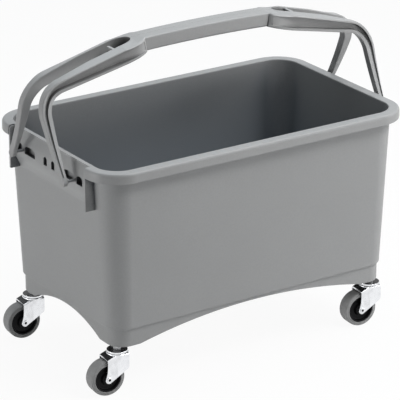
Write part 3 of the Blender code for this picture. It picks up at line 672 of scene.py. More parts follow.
def rubber_material(name, colour, roughness):
    """Grey rubber: dusty mottling, a fine moulded grain and a scuffed tread."""
    finish = Shader(name, colour, roughness)
    base = finish.mottled(RUBBER_DUST, colour, DUST_SHADES)
    scuff = finish.shown(RUBBER_SCUFF, 0.0, SCUFF_SHARE)
    finish.feed({"Base Color": finish.blend(scuff, base, scaled(colour, SCUFF_SHADE))})
    finish.vary_roughness(finish.noise(RUBBER_DUST), RUBBER_DUST, roughness, RUBBER_STRAY)
    finish.bump([(finish.noise(RUBBER_GRAIN), *RUBBER_BUMP)])
    return finish.material


# Painted shade in the hole in the fork head, from where it is darkest to where it is as the rest
hole_end = GRIP_LENGTH / 2 + CROTCH_SETBACK
hole_shade_span = (hole_end + CROTCH_LENGTH / 3, hole_end + 2 * CROTCH_LENGTH)

tub_finish = plastic_material("tub_plastic_grain", TUB_GREY, roughness=0.46, vessel=True)
bail_finish = plastic_material("bail_plastic_grain", BAIL_GREY, roughness=0.40, grain=0.07,
                               recess=hole_shade_span)
pale_finish = plastic_material("pale_plastic_grain", PALE_PLASTIC, roughness=0.50)
black_finish = plastic_material("black_plastic_grain", BLACK_PLASTIC, roughness=0.45, grain=0.06, gloss=0.12)
tyre_finish = rubber_material("tyre_rubber", TYRE_GREY, roughness=0.72)
zinc_finish = metal_material("zinc_plating", ZINC, roughness=0.24)
# Painted dark reflection and shade, put on chosen faces of the zinc and steel parts
painted_shade_finish = metal_material("painted_shade_reflection", SHADE_REFLECTION_DARK, roughness=0.26)
steel_finish = metal_material("plain_steel_lines", STEEL, roughness=0.34)
pin_finish = plastic_material("dull_pin_grain", DULL_STEEL, roughness=0.55)


def with_finishes(mesh, *finishes):
    for finish in finishes:
        mesh.materials.append(finish)
    return mesh


def add_piece(name, mesh, body, slot, nodes, matrix=Matrix.Identity(4)):
    """One visible piece that rides on a body and stands for solids."""
    item = linked_object(name, mesh)
    mesh.shade_smooth()
    mesh.set_sharp_from_angle(angle=SMOOTH_ANGLE)
    item.matrix_world = matrix
    normals = item.modifiers.new("face_weight", "WEIGHTED_NORMAL")
    normals.keep_sharp = True
    bpy.context.view_layer.update()
    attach(item, body)
    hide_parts(*nodes)


# Tub

def body_size(z):
    """Half length, half width and corner of the body's outside at a height."""
    t = (z - step_z) / (lip_under_z - step_z)
    half_length = mix(BODY_LENGTH_BOTTOM, BODY_LENGTH_TOP, t) / 2
    half_width = mix(BODY_WIDTH_BOTTOM, BODY_WIDTH_TOP, t) / 2
    return half_length, half_width, mix(BODY_CORNER_BOTTOM, BODY_CORNER_TOP, t)


def rounded_ring(size):
    """A rounded rectangle from its half length, half width, corner and height."""
    half_length, half_width, corner, z = size
    points = []
    for quarter, (sign_x, sign_y) in enumerate([(1, 1), (-1, 1), (-1, -1), (1, -1)]):
        start = quarter * pi / 2
        for angle in stepped(start, start + pi / 2, CORNER_STEPS):
            points.append((sign_x * (half_length - corner) + corner * cos(angle),
                           sign_y * (half_width - corner) + corner * sin(angle), z))
    return points


def tub_shell():
    """The skirt, the body, the lip with its hollow underside, and the inside down to the floor."""
    def ring(z, outwards, size_z, radius=0.0):
        half_length, half_width, corner = body_size(size_z)
        return half_length + outwards, half_width + outwards, corner + outwards, z, radius

    skirt_inside = -SKIRT_INSET - WALL
    band_inside = LIP_REACH - LIP_THICKNESS
    below_ribs_z = rim_z - RIB_HEIGHT - LIP_REACH / 2
    floor_inside = -WALL - FLOOR_FILLET / FLOOR_FILLET_SHARE
    rings = [ring(floor_under_z, skirt_inside, step_z),
             ring(foot_z, skirt_inside, step_z, EDGE_ROUND),
             ring(foot_z, -SKIRT_INSET, step_z, EDGE_ROUND),
             ring(step_z, -SKIRT_INSET, step_z, EDGE_ROUND),
             ring(step_z, 0.0, step_z, STEP_ROUND),
             ring(below_ribs_z, 0.0, below_ribs_z),
             ring(lip_under_z, 0.0, lip_under_z, 2 * EDGE_ROUND),
             ring(lip_under_z, band_inside, lip_under_z, EDGE_ROUND),
             ring(band_z, band_inside, lip_under_z, EDGE_ROUND),
             ring(band_z, LIP_REACH, lip_under_z, EDGE_ROUND),
             ring(rim_z, LIP_REACH, lip_under_z, RIM_ROUND),
             ring(rim_z, -WALL, lip_under_z, RIM_INNER_ROUND),
             ring(floor_top_z, -WALL, floor_top_z, FLOOR_FILLET),
             ring(floor_top_z, floor_inside, floor_top_z)]
    return loft("tub", [rounded_ring(size) for size in softened(rings)])


def arch_outline(half_span, low_z):
    """An arch from the floor side up to its crown."""
    radius = (half_span ** 2 + ARCH_RISE ** 2) / (2 * ARCH_RISE)
    spread = asin(half_span / radius)
    centre_z = foot_z + ARCH_RISE - radius
    turns = stepped(spread, -spread, ARCH_STEPS)
    top = [(radius * sin(turn), centre_z + radius * cos(turn)) for turn in turns]
    return [(-half_span, low_z), (half_span, low_z)] + top


def apron_mesh():
    """The shield on the right end wall that carries the hinges, flared in to the wall."""
    low_z = rim_z - APRON_HEIGHT
    top_z = rim_z - LIP_THICKNESS
    face_top_z = top_z - APRON_FLARE_HEIGHT
    face_low_z = face_top_z - APRON_FACE_HEIGHT
    inside = WALL / 3
    outline = softened([(body_size(low_z)[0] - inside, low_z, 0.0),
                        (apron_x, face_low_z, APRON_LOWER_ROUND),
                        (apron_x, face_top_z, APRON_ROUND),
                        (wall_x + APRON_TOP_PROUD, top_z, 0.0),
                        (body_size(top_z)[0] - inside, top_z, 0.0)])
    half = BAY_WIDTH / 2 - RIB_THICKNESS / 2
    return extruded("apron", outline, -half, half, "Y")


def pocket_outline(centre_y, width):
    """An arch-topped pocket at the height of the hinges, as (y, z) points."""
    half = width / 2
    low_z = pivot_z - POCKET_BELOW_PIVOT
    spring_z = pivot_z + POCKET_ABOVE_PIVOT - POCKET_ARCH
    top = [(centre_y + half * cos(turn), spring_z + POCKET_ARCH * sin(turn))
           for turn in stepped(0.0, pi, POCKET_STEPS)]
    return [(centre_y - half, low_z), (centre_y + half, low_z)] + top


def pockets_mesh():
    """Pockets beside both hinges of the right end wall, and two slots in its middle."""
    inner_y = pivot_y - POCKET_WEB / 2 - INNER_POCKET_WIDTH / 2
    outer_y = pivot_y + POCKET_WEB / 2 + OUTER_POCKET_WIDTH / 2
    outlines = []
    for side in (-1, 1):
        outlines.append(pocket_outline(side * inner_y, INNER_POCKET_WIDTH))
        outlines.append(pocket_outline(side * outer_y, OUTER_POCKET_WIDTH))
        outlines.append(pocket_outline(side * SLOT_SPREAD / 2, SLOT_WIDTH))
    floor_x = wall_x + POCKET_FLOOR
    return joined("pockets", [extruded("pocket", outline, floor_x, leg_x, "X") for outline in outlines])


def rib_mesh(side):
    """A rib that closes the end of the lip beside the bay, as if on the right end wall."""
    low_z = rim_z - RIB_HEIGHT
    top_z = rim_z - LIP_THICKNESS / 2
    inside = WALL / 2
    outer_x = rim_x - RIB_BACK_FROM_RIM
    corner = RIM_ROUND / 2
    outline = [(body_size(low_z)[0] - inside, low_z), (outer_x, low_z), (outer_x, top_z - corner),
               (outer_x - corner, top_z), (wall_x - inside, top_z)]
    outer_y = side * (BAY_WIDTH / 2 + 2 * GAP)
    inner_y = outer_y - side * RIB_THICKNESS
    return extruded("rib", outline, min(outer_y, inner_y), max(outer_y, inner_y), "Y")


def build_tub():
    below_z = foot_z - SKIRT_HEIGHT
    half_bay = BAY_WIDTH / 2
    bay = box("bay", (wall_x + BAY_EDGE, -half_bay, band_z - LIP_THICKNESS),
              (leg_x, half_bay, rim_z + LIP_THICKNESS))
    side_arch = arch_outline(skirt_half_length - SIDE_ARCH_MARGIN, below_z)
    end_arch = arch_outline(skirt_half_width - END_ARCH_MARGIN, below_z)
    seats = [((apron_x, y, pivot_z), PIN_RADIUS + GAP, 2 * PIN_SEAT_DEPTH) for y in (-pivot_y, pivot_y)]
    boss_top = floor_under_z + FLOOR_THICKNESS / 3
    boss_low = foot_z + GAP
    boss_z = (boss_low + boss_top) / 2
    bore_radius = socket_radius + GAP
    boss_radius = bore_radius + FOOT_BOSS_WALL
    places = [(x * castor_x, y * castor_y) for x in SIDES.values() for y in ENDS.values()]
    bosses = [((x, y, boss_z), boss_radius, boss_top - boss_low) for x, y in places]
    bores = [((x, y, foot_z), bore_radius, 2 * (STEM_GRIP_LENGTH + GAP)) for x, y in places]
    ribs = joined("ribs", [rib_mesh(-1), rib_mesh(1)])
    steps = [("DIFFERENCE", half_turned(bay)),
             ("DIFFERENCE", extruded("side_arches", side_arch, -leg_x, leg_x, "Y")),
             ("DIFFERENCE", extruded("end_arches", end_arch, -leg_x, leg_x, "X")),
             ("UNION", at_both_ends("aprons", apron_mesh())),
             ("UNION", half_turned(ribs)),
             ("DIFFERENCE", at_both_ends("hinge_pockets", pockets_mesh())),
             ("DIFFERENCE", at_both_ends("pin_seats", cylinders("seat_pair", seats, "X"))),
             ("UNION", cylinders("foot_bosses", bosses)),
             ("DIFFERENCE", cylinders("socket_bores", bores))]
    mesh = carved("tub_moulding", tub_shell(), steps, MOULDED_EDGE)
    add_piece("tub_moulding", with_finishes(mesh, tub_finish), "tub", "tub_plastic", ["tub"])


# Bails

def arc_between(before, corner, after, radius, steps):
    """Points of the arc of a given radius that rounds a corner."""
    into = (before - corner).normalized()
    out = (after - corner).normalized()
    half_angle = into.angle(out) / 2
    start = corner + into * radius / tan(half_angle)
    end = corner + out * radius / tan(half_angle)
    centre = corner + (into + out).normalized() * radius / sin(half_angle)
    first = start - centre
    sweep = first.angle_signed(end - centre)
    return [centre + Matrix.Rotation(turn, 2) @ first for turn in stepped(0.0, -sweep, steps)]


STATION_FIELDS = "x z height near far outer_round inner_round outer_flange inner_flange depth crown"
Station = namedtuple("Station", STATION_FIELDS)


def bail_centre_line():
    """Stations of one half of a bail, from its foot to the middle of the grip.

    The height of a station is in the bail's plane, and its near and far are counted from the parting plane.
    """
    foot = Vector((leg_x + FOOT_WIDTH / 2, pivot_z))
    shoulder = Vector((leg_x + LEG_WIDTH / 2, grip_z - SHOULDER_DROP))
    grip_end = Vector((GRIP_LENGTH / 2, grip_z - GRIP_CROWN))
    arm = (shoulder - grip_end).normalized()
    near_pivot = pivot_y - FOOT_DEPTH / 2

    def station(point, height, faces, rounds, opening, crown=0.0):
        rise = min(1.0, max(0.0, (point.y - pivot_z) / (shoulder.y - pivot_z)))
        outer_share = mix(FOOT_OUTER_SHARE, LEG_OUTER_SHARE, rise)
        inner_share = mix(FOOT_INNER_SHARE, LEG_INNER_SHARE, rise)
        flanges = (mix(outer_share * height, OUTER_FLANGE, opening) + crown * ARM_SHED,
                   mix(inner_share * height, INNER_FLANGE, opening))
        leg_depth = mix(FOOT_GROOVE_DEPTH, LEG_GROOVE_DEPTH, rise)
        depth = mix(leg_depth, channel_depth(point.x), opening)
        return Station(point.x, point.y, height, *faces, *rounds, *flanges, depth, crown)

    def leg_faces(z):
        share = max(0.0, (shoulder.y - z) / (shoulder.y - pivot_z))
        near = mix(ARM_SPREAD, near_pivot, share ** LEG_FLARE)
        return near, near + mix(ARM_DEPTH, FOOT_DEPTH, share)

    # The foot: the end of the leg is round about the pin
    result = []
    rounds = (FOOT_ROUND, FOOT_ROUND)
    for turn in stepped(FOOT_TIP_TURN, 0.0, FOOT_STEPS)[:-1]:
        half = FOOT_DEPTH / 2 * cos(turn)
        tip = Vector((foot.x, pivot_z - FOOT_DEPTH / 2 * sin(turn)))
        result.append(station(tip, FOOT_WIDTH, (pivot_y - half, pivot_y + half), rounds, 0.0))

    # The leg, the bend over the shoulder and the arm
    bend = arc_between(foot, shoulder, grip_end, SHOULDER_RADIUS, BEND_STEPS)
    for t in stepped(0.0, 1.0, LEG_STEPS)[:-1]:
        point = foot.lerp(bend[0], t)
        widening = max(0.0, (t - LEG_TAPER_START) / (1 - LEG_TAPER_START))
        width = mix(FOOT_WIDTH, LEG_WIDTH, widening)
        rounds = (mix(FOOT_ROUND, ARM_ROUND, t), mix(FOOT_ROUND, FLANGE_ROUND, t))
        result.append(station(point, width, leg_faces(point.y), rounds, 0.0))
    rounds = (ARM_ROUND, FLANGE_ROUND)
    for t, point in zip(stepped(0.0, 1.0, BEND_STEPS), bend):
        height = mix(LEG_WIDTH, ARM_ROOT_HEIGHT, t)
        result.append(station(point, height, leg_faces(point.y), rounds, GROOVE_OPEN_AT_ARM * t))
    fork_reach = CROTCH_SETBACK + CROTCH_LENGTH + CROTCH_RUN_IN
    fork_start = grip_end + arm * fork_reach / arm.x
    arm_far = ARM_SPREAD + ARM_DEPTH
    for t in stepped(0.0, 1.0, ARM_STEPS)[1:]:
        height = mix(ARM_ROOT_HEIGHT, ARM_HEIGHT, t)
        point = bend[-1].lerp(fork_start, t)
        opening = min(1.0, GROOVE_OPEN_AT_ARM + t)
        result.append(station(point, height, (ARM_SPREAD, arm_far), rounds, opening, min(1.0, 2 * t)))

    # The fork head: the near face closes round the crotch and the far face turns in to the grip
    parting = GAP / 2
    head_x = grip_end.x + FORK_HEAD_LENGTH

    def fork_station(x, near):
        share = (grip_end.x + fork_reach - x) / fork_reach
        point = Vector((x, grip_end.y + (x - grip_end.x) * arm.y / arm.x))
        run = max(0.0, (head_x - x) / FORK_HEAD_LENGTH)
        far = mix(GRIP_DEPTH / 2, arm_far, sqrt(1 - run ** 2))
        shoulder_round = HEAD_ROUND * 4 * share * (1 - share)
        rounds = (mix(ARM_ROUND, GRIP_ROUND, share) + shoulder_round,
                  mix(FLANGE_ROUND, GRIP_ROUND, share ** 2))
        height = mix(ARM_HEIGHT, GRIP_HEIGHT, share)
        return station(point, height, (near, far), rounds, 1.0, 1 - share ** 2)

    crotch_x = grip_end.x + CROTCH_SETBACK
    for turn in stepped(0.0, pi / 2, CROTCH_STEPS):
        closing = sin(turn)
        near = max(parting, ARM_SPREAD * sqrt(1 - closing ** 2))
        result.append(fork_station(crotch_x + CROTCH_LENGTH * (1 - closing), near))
    turn_at_crotch = asin((head_x - crotch_x) / FORK_HEAD_LENGTH)
    for turn in stepped(turn_at_crotch, pi / 2, HEAD_STEPS)[1:-1]:
        result.append(fork_station(head_x - FORK_HEAD_LENGTH * sin(turn), parting))

    # The grip, a shallow arch
    rounds = (GRIP_ROUND, GRIP_ROUND)
    for x in stepped(grip_end.x, 0.0, GRIP_STEPS):
        point = Vector((x, grip_z - GRIP_CROWN * (x / grip_end.x) ** 2))
        result.append(station(point, GRIP_HEIGHT, (parting, GRIP_DEPTH / 2), rounds, 1.0))
    return result


def mirrored_stations(half):
    """A whole run of stations from the half that ends on the middle plane."""
    other = [station._replace(x=-station.x) for station in half if station.x > SAME_PLACE]
    return half + other[::-1]


def station_normals(stations):
    """Unit normals in the XZ plane, pointing away from the inside of the bail."""
    befores = stations[:1] + stations[:-1]
    afters = stations[1:] + stations[-1:]
    normals = []
    for before, after in zip(befores, afters):
        run = Vector((after.x - before.x, after.z - before.z)).normalized()
        normals.append(Vector((run.y, -run.x)))
    return normals


def section_ring(station, normal, depths, heights, radii, draft=0.0, crown=0.0, shed=0.0):
    """A rounded rectangle across the bail at a station, opened by the draft on its far side.

    Its outer face rises by the crown at the near edge and falls by the shed at the far one. The radii go
    round from the near inner corner.
    """
    near, far = depths
    low, high = heights
    corners = [(near, low, 1, 1), (far, low - draft, -1, 1), (far, high + draft - shed, -1, -1),
               (near, high + crown, 1, -1)]
    ring = []
    for index, (depth, up, sign_depth, sign_up) in enumerate(corners):
        radius = radii[index]
        for step in range(SECTION_STEPS + 1):
            angle = (index + 2 + step / SECTION_STEPS) * pi / 2
            d = depth + sign_depth * radius + radius * cos(angle)
            u = up + sign_up * radius + radius * sin(angle)
            ring.append((station.x + normal.x * u, -d, station.z + normal.y * u))
    return ring


def channel_depth(x):
    """Depth of the channel at a distance from the middle; it fades towards the fork head."""
    full_x = GRIP_LENGTH / 2 + CHANNEL_STOP + CHANNEL_FADE
    share = min(1.0, max(0.0, (full_x - abs(x)) / CHANNEL_FADE))
    return mix(CHANNEL_DEPTH, CHANNEL_END_DEPTH, share)


def centre_height(half_line, x):
    """Height of the arm's centre line at a distance from the middle."""
    pairs = sorted((station.x, station.z) for station in half_line if station.z > grip_z - SHOULDER_DROP)
    for (x0, z0), (x1, z1) in zip(pairs, pairs[1:]):
        if x0 <= x <= x1:
            return mix(z0, z1, (x - x0) / (x1 - x0))
    return pairs[-1][1]


def hole_web_mesh(half_line, side):
    """A thin web that closes the bottom of the hole between the tongue and the crotch."""
    near = -GAP / 2
    far = -ARM_SPREAD - HOLE_WEB / 2
    rings = []
    for reach in (CROTCH_SETBACK - HOLE_WEB, TONGUE_FROM_GRIP):
        x = GRIP_LENGTH / 2 + reach
        low = centre_height(half_line, x) - GRIP_HEIGHT / 2 + HOLE_WEB / 2
        high = low + HOLE_WEB
        rings.append([(side * x, y, z) for y, z in ((near, low), (far, low), (far, high), (near, high))])
    return loft("hole_web", rings)


def bail_mesh():
    """The front bail: a channel-section frame with a half grip and two round feet."""
    half_line = bail_centre_line()
    stations = mirrored_stations(half_line)
    body_rings = []
    channel_rings = {1: [], -1: []}
    for station, normal in zip(stations, station_normals(stations)):
        half = station.height / 2
        near_round = mix(PARTING_ROUND, ARM_ROUND, min(1.0, station.near / ARM_SPREAD))
        most = MOST_OF_SECTION * (station.far - station.near)
        radii = [min(most, radius) for radius in
                 (near_round, station.inner_round, station.outer_round, near_round)]
        body_rings.append(section_ring(station, normal, (station.near, station.far), (-half, half), radii,
                                       crown=station.crown * ARM_CROWN, shed=station.crown * ARM_SHED))
        if abs(station.x) > GRIP_LENGTH / 2 + CHANNEL_STOP and station.z > pivot_z + FOOT_DEPTH / 2:
            depths = (station.far - station.depth, station.far + CHANNEL_DEPTH)
            heights = (station.inner_flange - half, half - station.outer_flange)
            ring = section_ring(station, normal, depths, heights, [CHANNEL_ROUND] * 4, CHANNEL_DRAFT)
            channel_rings[1 if station.x > 0 else -1].append(ring)
    channels = joined("channels", [loft("channel", rings) for rings in channel_rings.values()])
    hole_depth = FOOT_WIDTH - EYE_SKIN
    holes = [((side * leg_x, -pivot_y, pivot_z), PIN_RADIUS + GAP, 2 * hole_depth) for side in (-1, 1)]
    tongue_x = -GRIP_LENGTH / 2 - TONGUE_FROM_GRIP
    tongue_z = centre_height(half_line, -tongue_x) + ARM_HEIGHT / 2 + TONGUE_RISE
    tongue = box("tongue",
                 (tongue_x - TONGUE_WIDTH / 2, -ARM_SPREAD - ARM_ROUND, tongue_z - TONGUE_HEIGHT),
                 (tongue_x + TONGUE_WIDTH / 2, TONGUE_PAST_PARTING, tongue_z))
    webs = joined("hole_webs", [hole_web_mesh(half_line, side) for side in (-1, 1)])
    steps = [("DIFFERENCE", channels), ("DIFFERENCE", cylinders("eye_holes", holes, "X")),
             ("UNION", webs), ("UNION", tongue)]
    return carved("bail", loft("bail_body", body_rings), steps, CHANNEL_EDGE)


def build_bails():
    mesh = with_finishes(bail_mesh(), bail_finish)
    for end, sign in ENDS.items():
        matrix = Matrix.Rotation(0.0 if sign < 0 else pi, 4, "Z")
        add_piece(f"{end}_bail_moulding", mesh, f"{end}_bail", "bail_plastic", [f"{end}_bail"], matrix)


# Castors, each about its stem's axis, with the wheel trailing towards -X

def both_faces(upper):
    """A profile and its mirror image, as one run of (radius, height) points."""
    return upper + [(radius, -height) for radius, height in reversed(upper)]


def with_painted_shade(mesh, in_painted_shade):
    """A zinc-plated mesh with painted dark reflection and shade on the faces that pass a test."""
    for face in mesh.polygons:
        face.material_index = 1 if in_painted_shade(face) else 0
    return with_finishes(mesh, zinc_finish, painted_shade_finish)


def tyre_mesh():
    """A tyre with a flat crown, round shoulders and a low bead beside the wheel centre."""
    outer = wheel_radius
    inner = outer - TYRE_THICKNESS + GAP
    half = TYRE_WIDTH / 2
    bead = inner + TYRE_THICKNESS / 4
    small = TYRE_LIP / 2
    upper = softened([(inner, 0.0, 0.0), (inner, half, small), (bead, half, small),
                      (bead + TYRE_LIP, half - TYRE_LIP, small), (outer, half - TYRE_LIP, TYRE_SHOULDER),
                      (outer, 0.0, 0.0)], PROFILE_STEPS)
    return turned("tyre", both_faces(upper[1:-1]), WHEEL_STEPS, "Y")


def wheel_mesh():
    """A wheel centre with a dished web, a raised hub and a narrow rim."""
    rim = wheel_radius - TYRE_THICKNESS
    dish = rim - WHEEL_RIM_DEPTH
    half = TYRE_WIDTH / 2 - GAP
    web = half - WHEEL_DISH
    hub_half = TYRE_WIDTH / 2 + FORK_SIDE_CLEARANCE / 2
    bore = AXLE_RADIUS + GAP + BUSH_WALL + GAP
    slope = WHEEL_DISH / 3
    small = WHEEL_DISH / 8
    upper = softened([(bore, 0.0, 0.0), (bore, hub_half, small), (HUB_RADIUS, hub_half, small),
                      (HUB_RADIUS + slope, web, 2 * small), (dish, web, 2 * small),
                      (dish + slope, half, small), (rim, half, small), (rim, 0.0, 0.0)], PROFILE_STEPS)
    return turned("wheel", both_faces(upper[1:-1]), WHEEL_STEPS, "Y")


def fork_side_outline():
    """The side view of the fork, as (x, z) points: legs that taper to the axle."""
    axle = Vector((-CASTOR_TRAIL, wheel_radius))
    tail_x = axle.x - FORK_TAIL_REACH
    front_x = FORK_SHOULDER_REACH
    shoulder_z = plate_under_z - FORK_SHOULDER_DROP
    slope = Vector((front_x, shoulder_z)) - axle
    lean = atan2(slope.y, slope.x) - asin(FORK_EYE_RADIUS / slope.length)
    eye = []
    for turn in stepped(lean - pi / 2, -pi, TURN_STEPS):
        point = axle + FORK_EYE_RADIUS * Vector((cos(turn), sin(turn)))
        eye.append((*point, 0.0))
    top_z = plate_top_z + FORK_STEEL
    return softened([(tail_x, top_z, 0.0), (front_x, top_z, 0.0), (front_x, shoulder_z, FORK_BEND), *eye,
                     (tail_x, shoulder_z, 2 * FORK_BEND)])


def fork_mesh():
    """A fork pressed from one plate, with round bends under its head disc."""
    inner, outer = fork_inner_half, fork_outer_half
    inner_bend = FORK_BEND - FORK_STEEL
    section = softened([(-outer, 0.0, 0.0), (-outer, plate_top_z, FORK_BEND), (outer, plate_top_z, FORK_BEND),
                        (outer, 0.0, 0.0), (inner, 0.0, 0.0), (inner, plate_under_z, inner_bend),
                        (-inner, plate_under_z, inner_bend), (-inner, 0.0, 0.0)])
    slope = FORK_TAIL_DROP / (CASTOR_TRAIL + FORK_TAIL_REACH - FORK_FLAT_REACH)
    far = CASTOR_TRAIL + wheel_radius
    side_view = softened([(far, 0.0, 0.0), (-FORK_FLAT_REACH, 0.0, FORK_BEND),
                          (-far, -slope * (far - FORK_FLAT_REACH), 0.0)])
    plate = loft("fork_plate", [[(along.x, p.x, p.y + along.y) for p in section] for along in side_view])
    side = extruded("fork_side", fork_side_outline(), -2 * outer, 2 * outer, "Y")
    disc_low = plate_under_z + GAP
    disc_top = plate_top_z + GAP
    bore = STEM_RADIUS + GAP
    disc = softened([(bore, disc_top, 0.0), (HEAD_RADIUS, disc_top, HEAD_EDGE),
                     (HEAD_RADIUS, disc_low, HEAD_EDGE), (bore, disc_low, 0.0)], PROFILE_STEPS)
    axle_place = (-CASTOR_TRAIL, 0.0, wheel_radius)
    steps = [("INTERSECT", side), ("UNION", turned("fork_head", disc, WHEEL_STEPS)),
             ("DIFFERENCE", cylinders("axle_hole", [(axle_place, AXLE_RADIUS + GAP, 4 * outer)], "Y")),
             ("DIFFERENCE", cylinders("stem_hole", [((0.0, 0.0, plate_top_z), bore, 4 * FORK_STEEL)]))]
    tail_up = cos(atan(slope))

    # Painted dark reflection and shade on the level plate, the tail and the fork's inside
    def in_painted_shade(face):
        up = face.normal.z
        level_or_tail = up > 1 - NORMAL_MARGIN or FACES_UP < up < tail_up + NORMAL_MARGIN
        on_plate = level_or_tail and face.center.z < plate_top_z + GAP / 2
        inside = abs(face.center.y) < outer - FORK_STEEL / 2 and face.center.z < plate_under_z + GAP / 2
        return on_plate or (inside and abs(face.normal.x) < FACES_FORWARD)

    return with_painted_shade(carved("fork", plate, steps, FORK_EDGE), in_painted_shade)


def axle_mesh():
    """A rivet with a low round-edged head at each end and a hollow in each head."""
    seat = fork_outer_half + GAP
    end = seat + AXLE_HEAD_THICKNESS
    deep = end - RIVET_HOLLOW_DEPTH
    edge = AXLE_HEAD_THICKNESS / 2
    upper = softened([(0.0, deep, 0.0), (RIVET_HOLLOW_RADIUS, deep, edge), (RIVET_HOLLOW_RADIUS, end, edge),
                      (AXLE_HEAD_RADIUS, end, edge), (AXLE_HEAD_RADIUS, seat, edge / 2),
                      (AXLE_RADIUS, seat, 0.0)], PROFILE_STEPS)

    # Painted shade inside the rivet's hollows
    def in_hollow(face):
        return hypot(face.center.x, face.center.z) < RIVET_HOLLOW_RADIUS

    return with_painted_shade(turned("axle", both_faces(upper), TURN_STEPS, "Y", closed=False), in_hollow)


def race_mesh():
    """The upper race: a flat cap whose skirt comes down round the balls, with painted dark reflection on top.
    """
    bore = STEM_RADIUS + GAP
    outer = HEAD_RADIUS - HEAD_EDGE
    inner = outer - RACE_THICKNESS
    low = plate_top_z + GAP + RACE_SKIRT_CLEARANCE
    top = race_z + RACE_THICKNESS
    small = RACE_THICKNESS / 4
    profile = softened([(bore, race_z, 0.0), (bore, top, small), (outer, top, RACE_EDGE), (outer, low, small),
                        (inner, low, small), (inner, race_z, 0.0)], PROFILE_STEPS)
    # Painted dark reflection on the race's up-facing faces
    return with_painted_shade(turned("race", profile, WHEEL_STEPS), lambda face: face.normal.z > FACES_UP)


def build_castors():
    rows = [("race", race_mesh(), "tub", "plain_steel"),
            ("fork", fork_mesh(), "swivel", "zinc_plate"),
            ("axle", axle_mesh(), "swivel", "plain_steel"),
            ("wheel", with_finishes(wheel_mesh(), black_finish), "roller", "black_plastic"),
            ("tyre", with_finishes(tyre_mesh(), tyre_finish), "roller", "grey_tyre")]
    to_axle = Matrix.Translation((-CASTOR_TRAIL, 0.0, wheel_radius))
    for end, sign_y in ENDS.items():
        for side, sign_x in SIDES.items():
            castor = f"castor_{end}_{side}"
            place = Matrix.Translation((sign_x * castor_x, sign_y * castor_y, 0.0))
            swivel = place @ Matrix.Rotation(CASTOR_REST_TURN, 4, "Z")
            for piece, mesh, body, slot in rows:
                matrix = swivel @ to_axle if piece in ("axle", "wheel", "tyre") else swivel
                rides_on = body if body == "tub" else f"{castor}_{body}"
                add_piece(f"{castor}_{piece}_finish", mesh, rides_on, slot, [f"{castor}_{piece}"], matrix)


# Solids that stay as they are

def dress_solids():
    """Gives the small solids that keep their shape a finish."""
    finishes = {"socket": pale_finish, "stem": zinc_finish, "balls": steel_finish, "bush": steel_finish}
    for name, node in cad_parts.items():
        finish = pin_finish if name.startswith("hinge_pin") else finishes.get(name.rsplit("_", 1)[-1])
        if finish is not None:
            node.data.materials.clear()
            node.data.materials.append(finish)


# Floor, light and camera

WHITE = (1.0, 1.0, 1.0)
FLOOR_HALF_SIZE = 6.0
FLOOR_CELLS = 8
FLOOR_GREY = (0.80, 0.80, 0.80)
FLOOR_ROUGHNESS = 0.9
FLOOR_GLOW_SHARE = 0.94
WORLD_STRENGTH = 0.06
LAMP_TARGET = Vector((0.0, 0.0, 0.2))
Softbox = namedtuple("Softbox", "name place width height power colour", defaults=(WHITE,))
SOFTBOXES = [Softbox("top_softbox", (0.2, 0.3, 2.2), 1.8, 1.8, 31.0, (0.88, 0.95, 1.0)),
             Softbox("front_softbox", (0.643, -1.113, 1.732), 0.8, 0.7, 21.0),
             Softbox("right_softbox", (1.471, -0.429, 1.486), 0.8, 0.7, 9.0),
             Softbox("low_right_softbox", (1.55, -1.35, 0.35), 0.9, 0.6, 12.0),
             Softbox("low_left_softbox", (-2.0, 0.40, 0.11), 0.9, 0.18, 13.0)]
CAMERA_PLACE = (-1.8862, -2.8593, 1.5310)
CAMERA_TARGET = Vector((0.0, 0.0, 0.160))
CAMERA_LENS = 236.5
CAMERA_SENSOR = 36.0
CAMERA_SHIFT = (-0.0047, 0.0567)


def white_for_view(tree, plain, white):
    """Plain white to the camera and in reflections, and light on the object otherwise."""
    seen = add_node(tree, "LightPath", "Is Camera Ray", {})
    for name in ("Is Glossy Ray", "Is Transmission Ray"):
        ray = add_node(tree, "LightPath", name, {})
        seen = add_node(tree, "Math", "Value", {0: seen, 1: ray}, operation="MAXIMUM")
    return add_node(tree, "MixShader", "Shader", {"Fac": seen, 1: plain, 2: white})


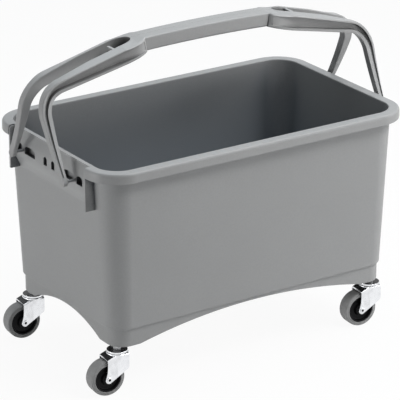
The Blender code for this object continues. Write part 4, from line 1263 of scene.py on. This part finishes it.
def build_floor():
    """A wide pale floor that keeps a faint shadow of the object."""
    bm = bmesh.new()
    bmesh.ops.create_grid(bm, x_segments=FLOOR_CELLS, y_segments=FLOOR_CELLS, size=FLOOR_HALF_SIZE)
    floor = linked_object("floor", finish_mesh(bm, "floor"))
    floor.location.z = -GAP
    material = bpy.data.materials.new("floor_pale")
    material.use_nodes = True
    tree = material.node_tree
    shader = tree.nodes["Principled BSDF"]
    plain = shader.outputs["BSDF"]
    set_inputs(tree, shader, {"Base Color": opaque(FLOOR_GREY), "Roughness": FLOOR_ROUGHNESS,
                              "Specular IOR Level": 0.0})
    glow = add_node(tree, "Emission", "Emission", {"Color": opaque(WHITE), "Strength": 1.0})
    faint = add_node(tree, "MixShader", "Shader", {"Fac": FLOOR_GLOW_SHARE, 1: plain, 2: glow})
    set_inputs(tree, tree.nodes["Material Output"], {"Surface": white_for_view(tree, plain, faint)})
    with_finishes(floor.data, material)


def build_world():
    """A dim even light on the object that looks plain white behind it."""
    world = bpy.data.worlds.new("studio")
    bpy.context.scene.world = world
    world.use_nodes = True
    tree = world.node_tree
    shader = tree.nodes["Background"]
    plain = shader.outputs["Background"]
    set_inputs(tree, shader, {"Color": opaque(WHITE), "Strength": WORLD_STRENGTH})
    white = add_node(tree, "Background", "Background", {"Color": opaque(WHITE), "Strength": 1.0})
    set_inputs(tree, tree.nodes["World Output"], {"Surface": white_for_view(tree, plain, white)})


def aimed_object(data, place, target):
    """A lamp or camera at a place, looking at a target."""
    item = linked_object(data.name, data)
    item.location = place
    item.rotation_euler = (target - Vector(place)).to_track_quat("-Z", "Y").to_euler()
    return item


def build_lamps():
    for softbox in SOFTBOXES:
        lamp = bpy.data.lights.new(softbox.name, "AREA")
        lamp.color = softbox.colour
        lamp.shape = "RECTANGLE"
        lamp.size = softbox.width
        lamp.size_y = softbox.height
        lamp.energy = softbox.power
        aimed_object(lamp, softbox.place, LAMP_TARGET)


def build_camera():
    data = bpy.data.cameras.new("camera")
    data.lens = CAMERA_LENS
    data.sensor_width = CAMERA_SENSOR
    data.shift_x, data.shift_y = CAMERA_SHIFT
    bpy.context.scene.camera = aimed_object(data, CAMERA_PLACE, CAMERA_TARGET)


build_tub()
build_bails()
build_castors()
dress_solids()
build_floor()
build_world()
build_lamps()
build_camera()
bpy.context.scene.view_settings.view_transform = "Standard"
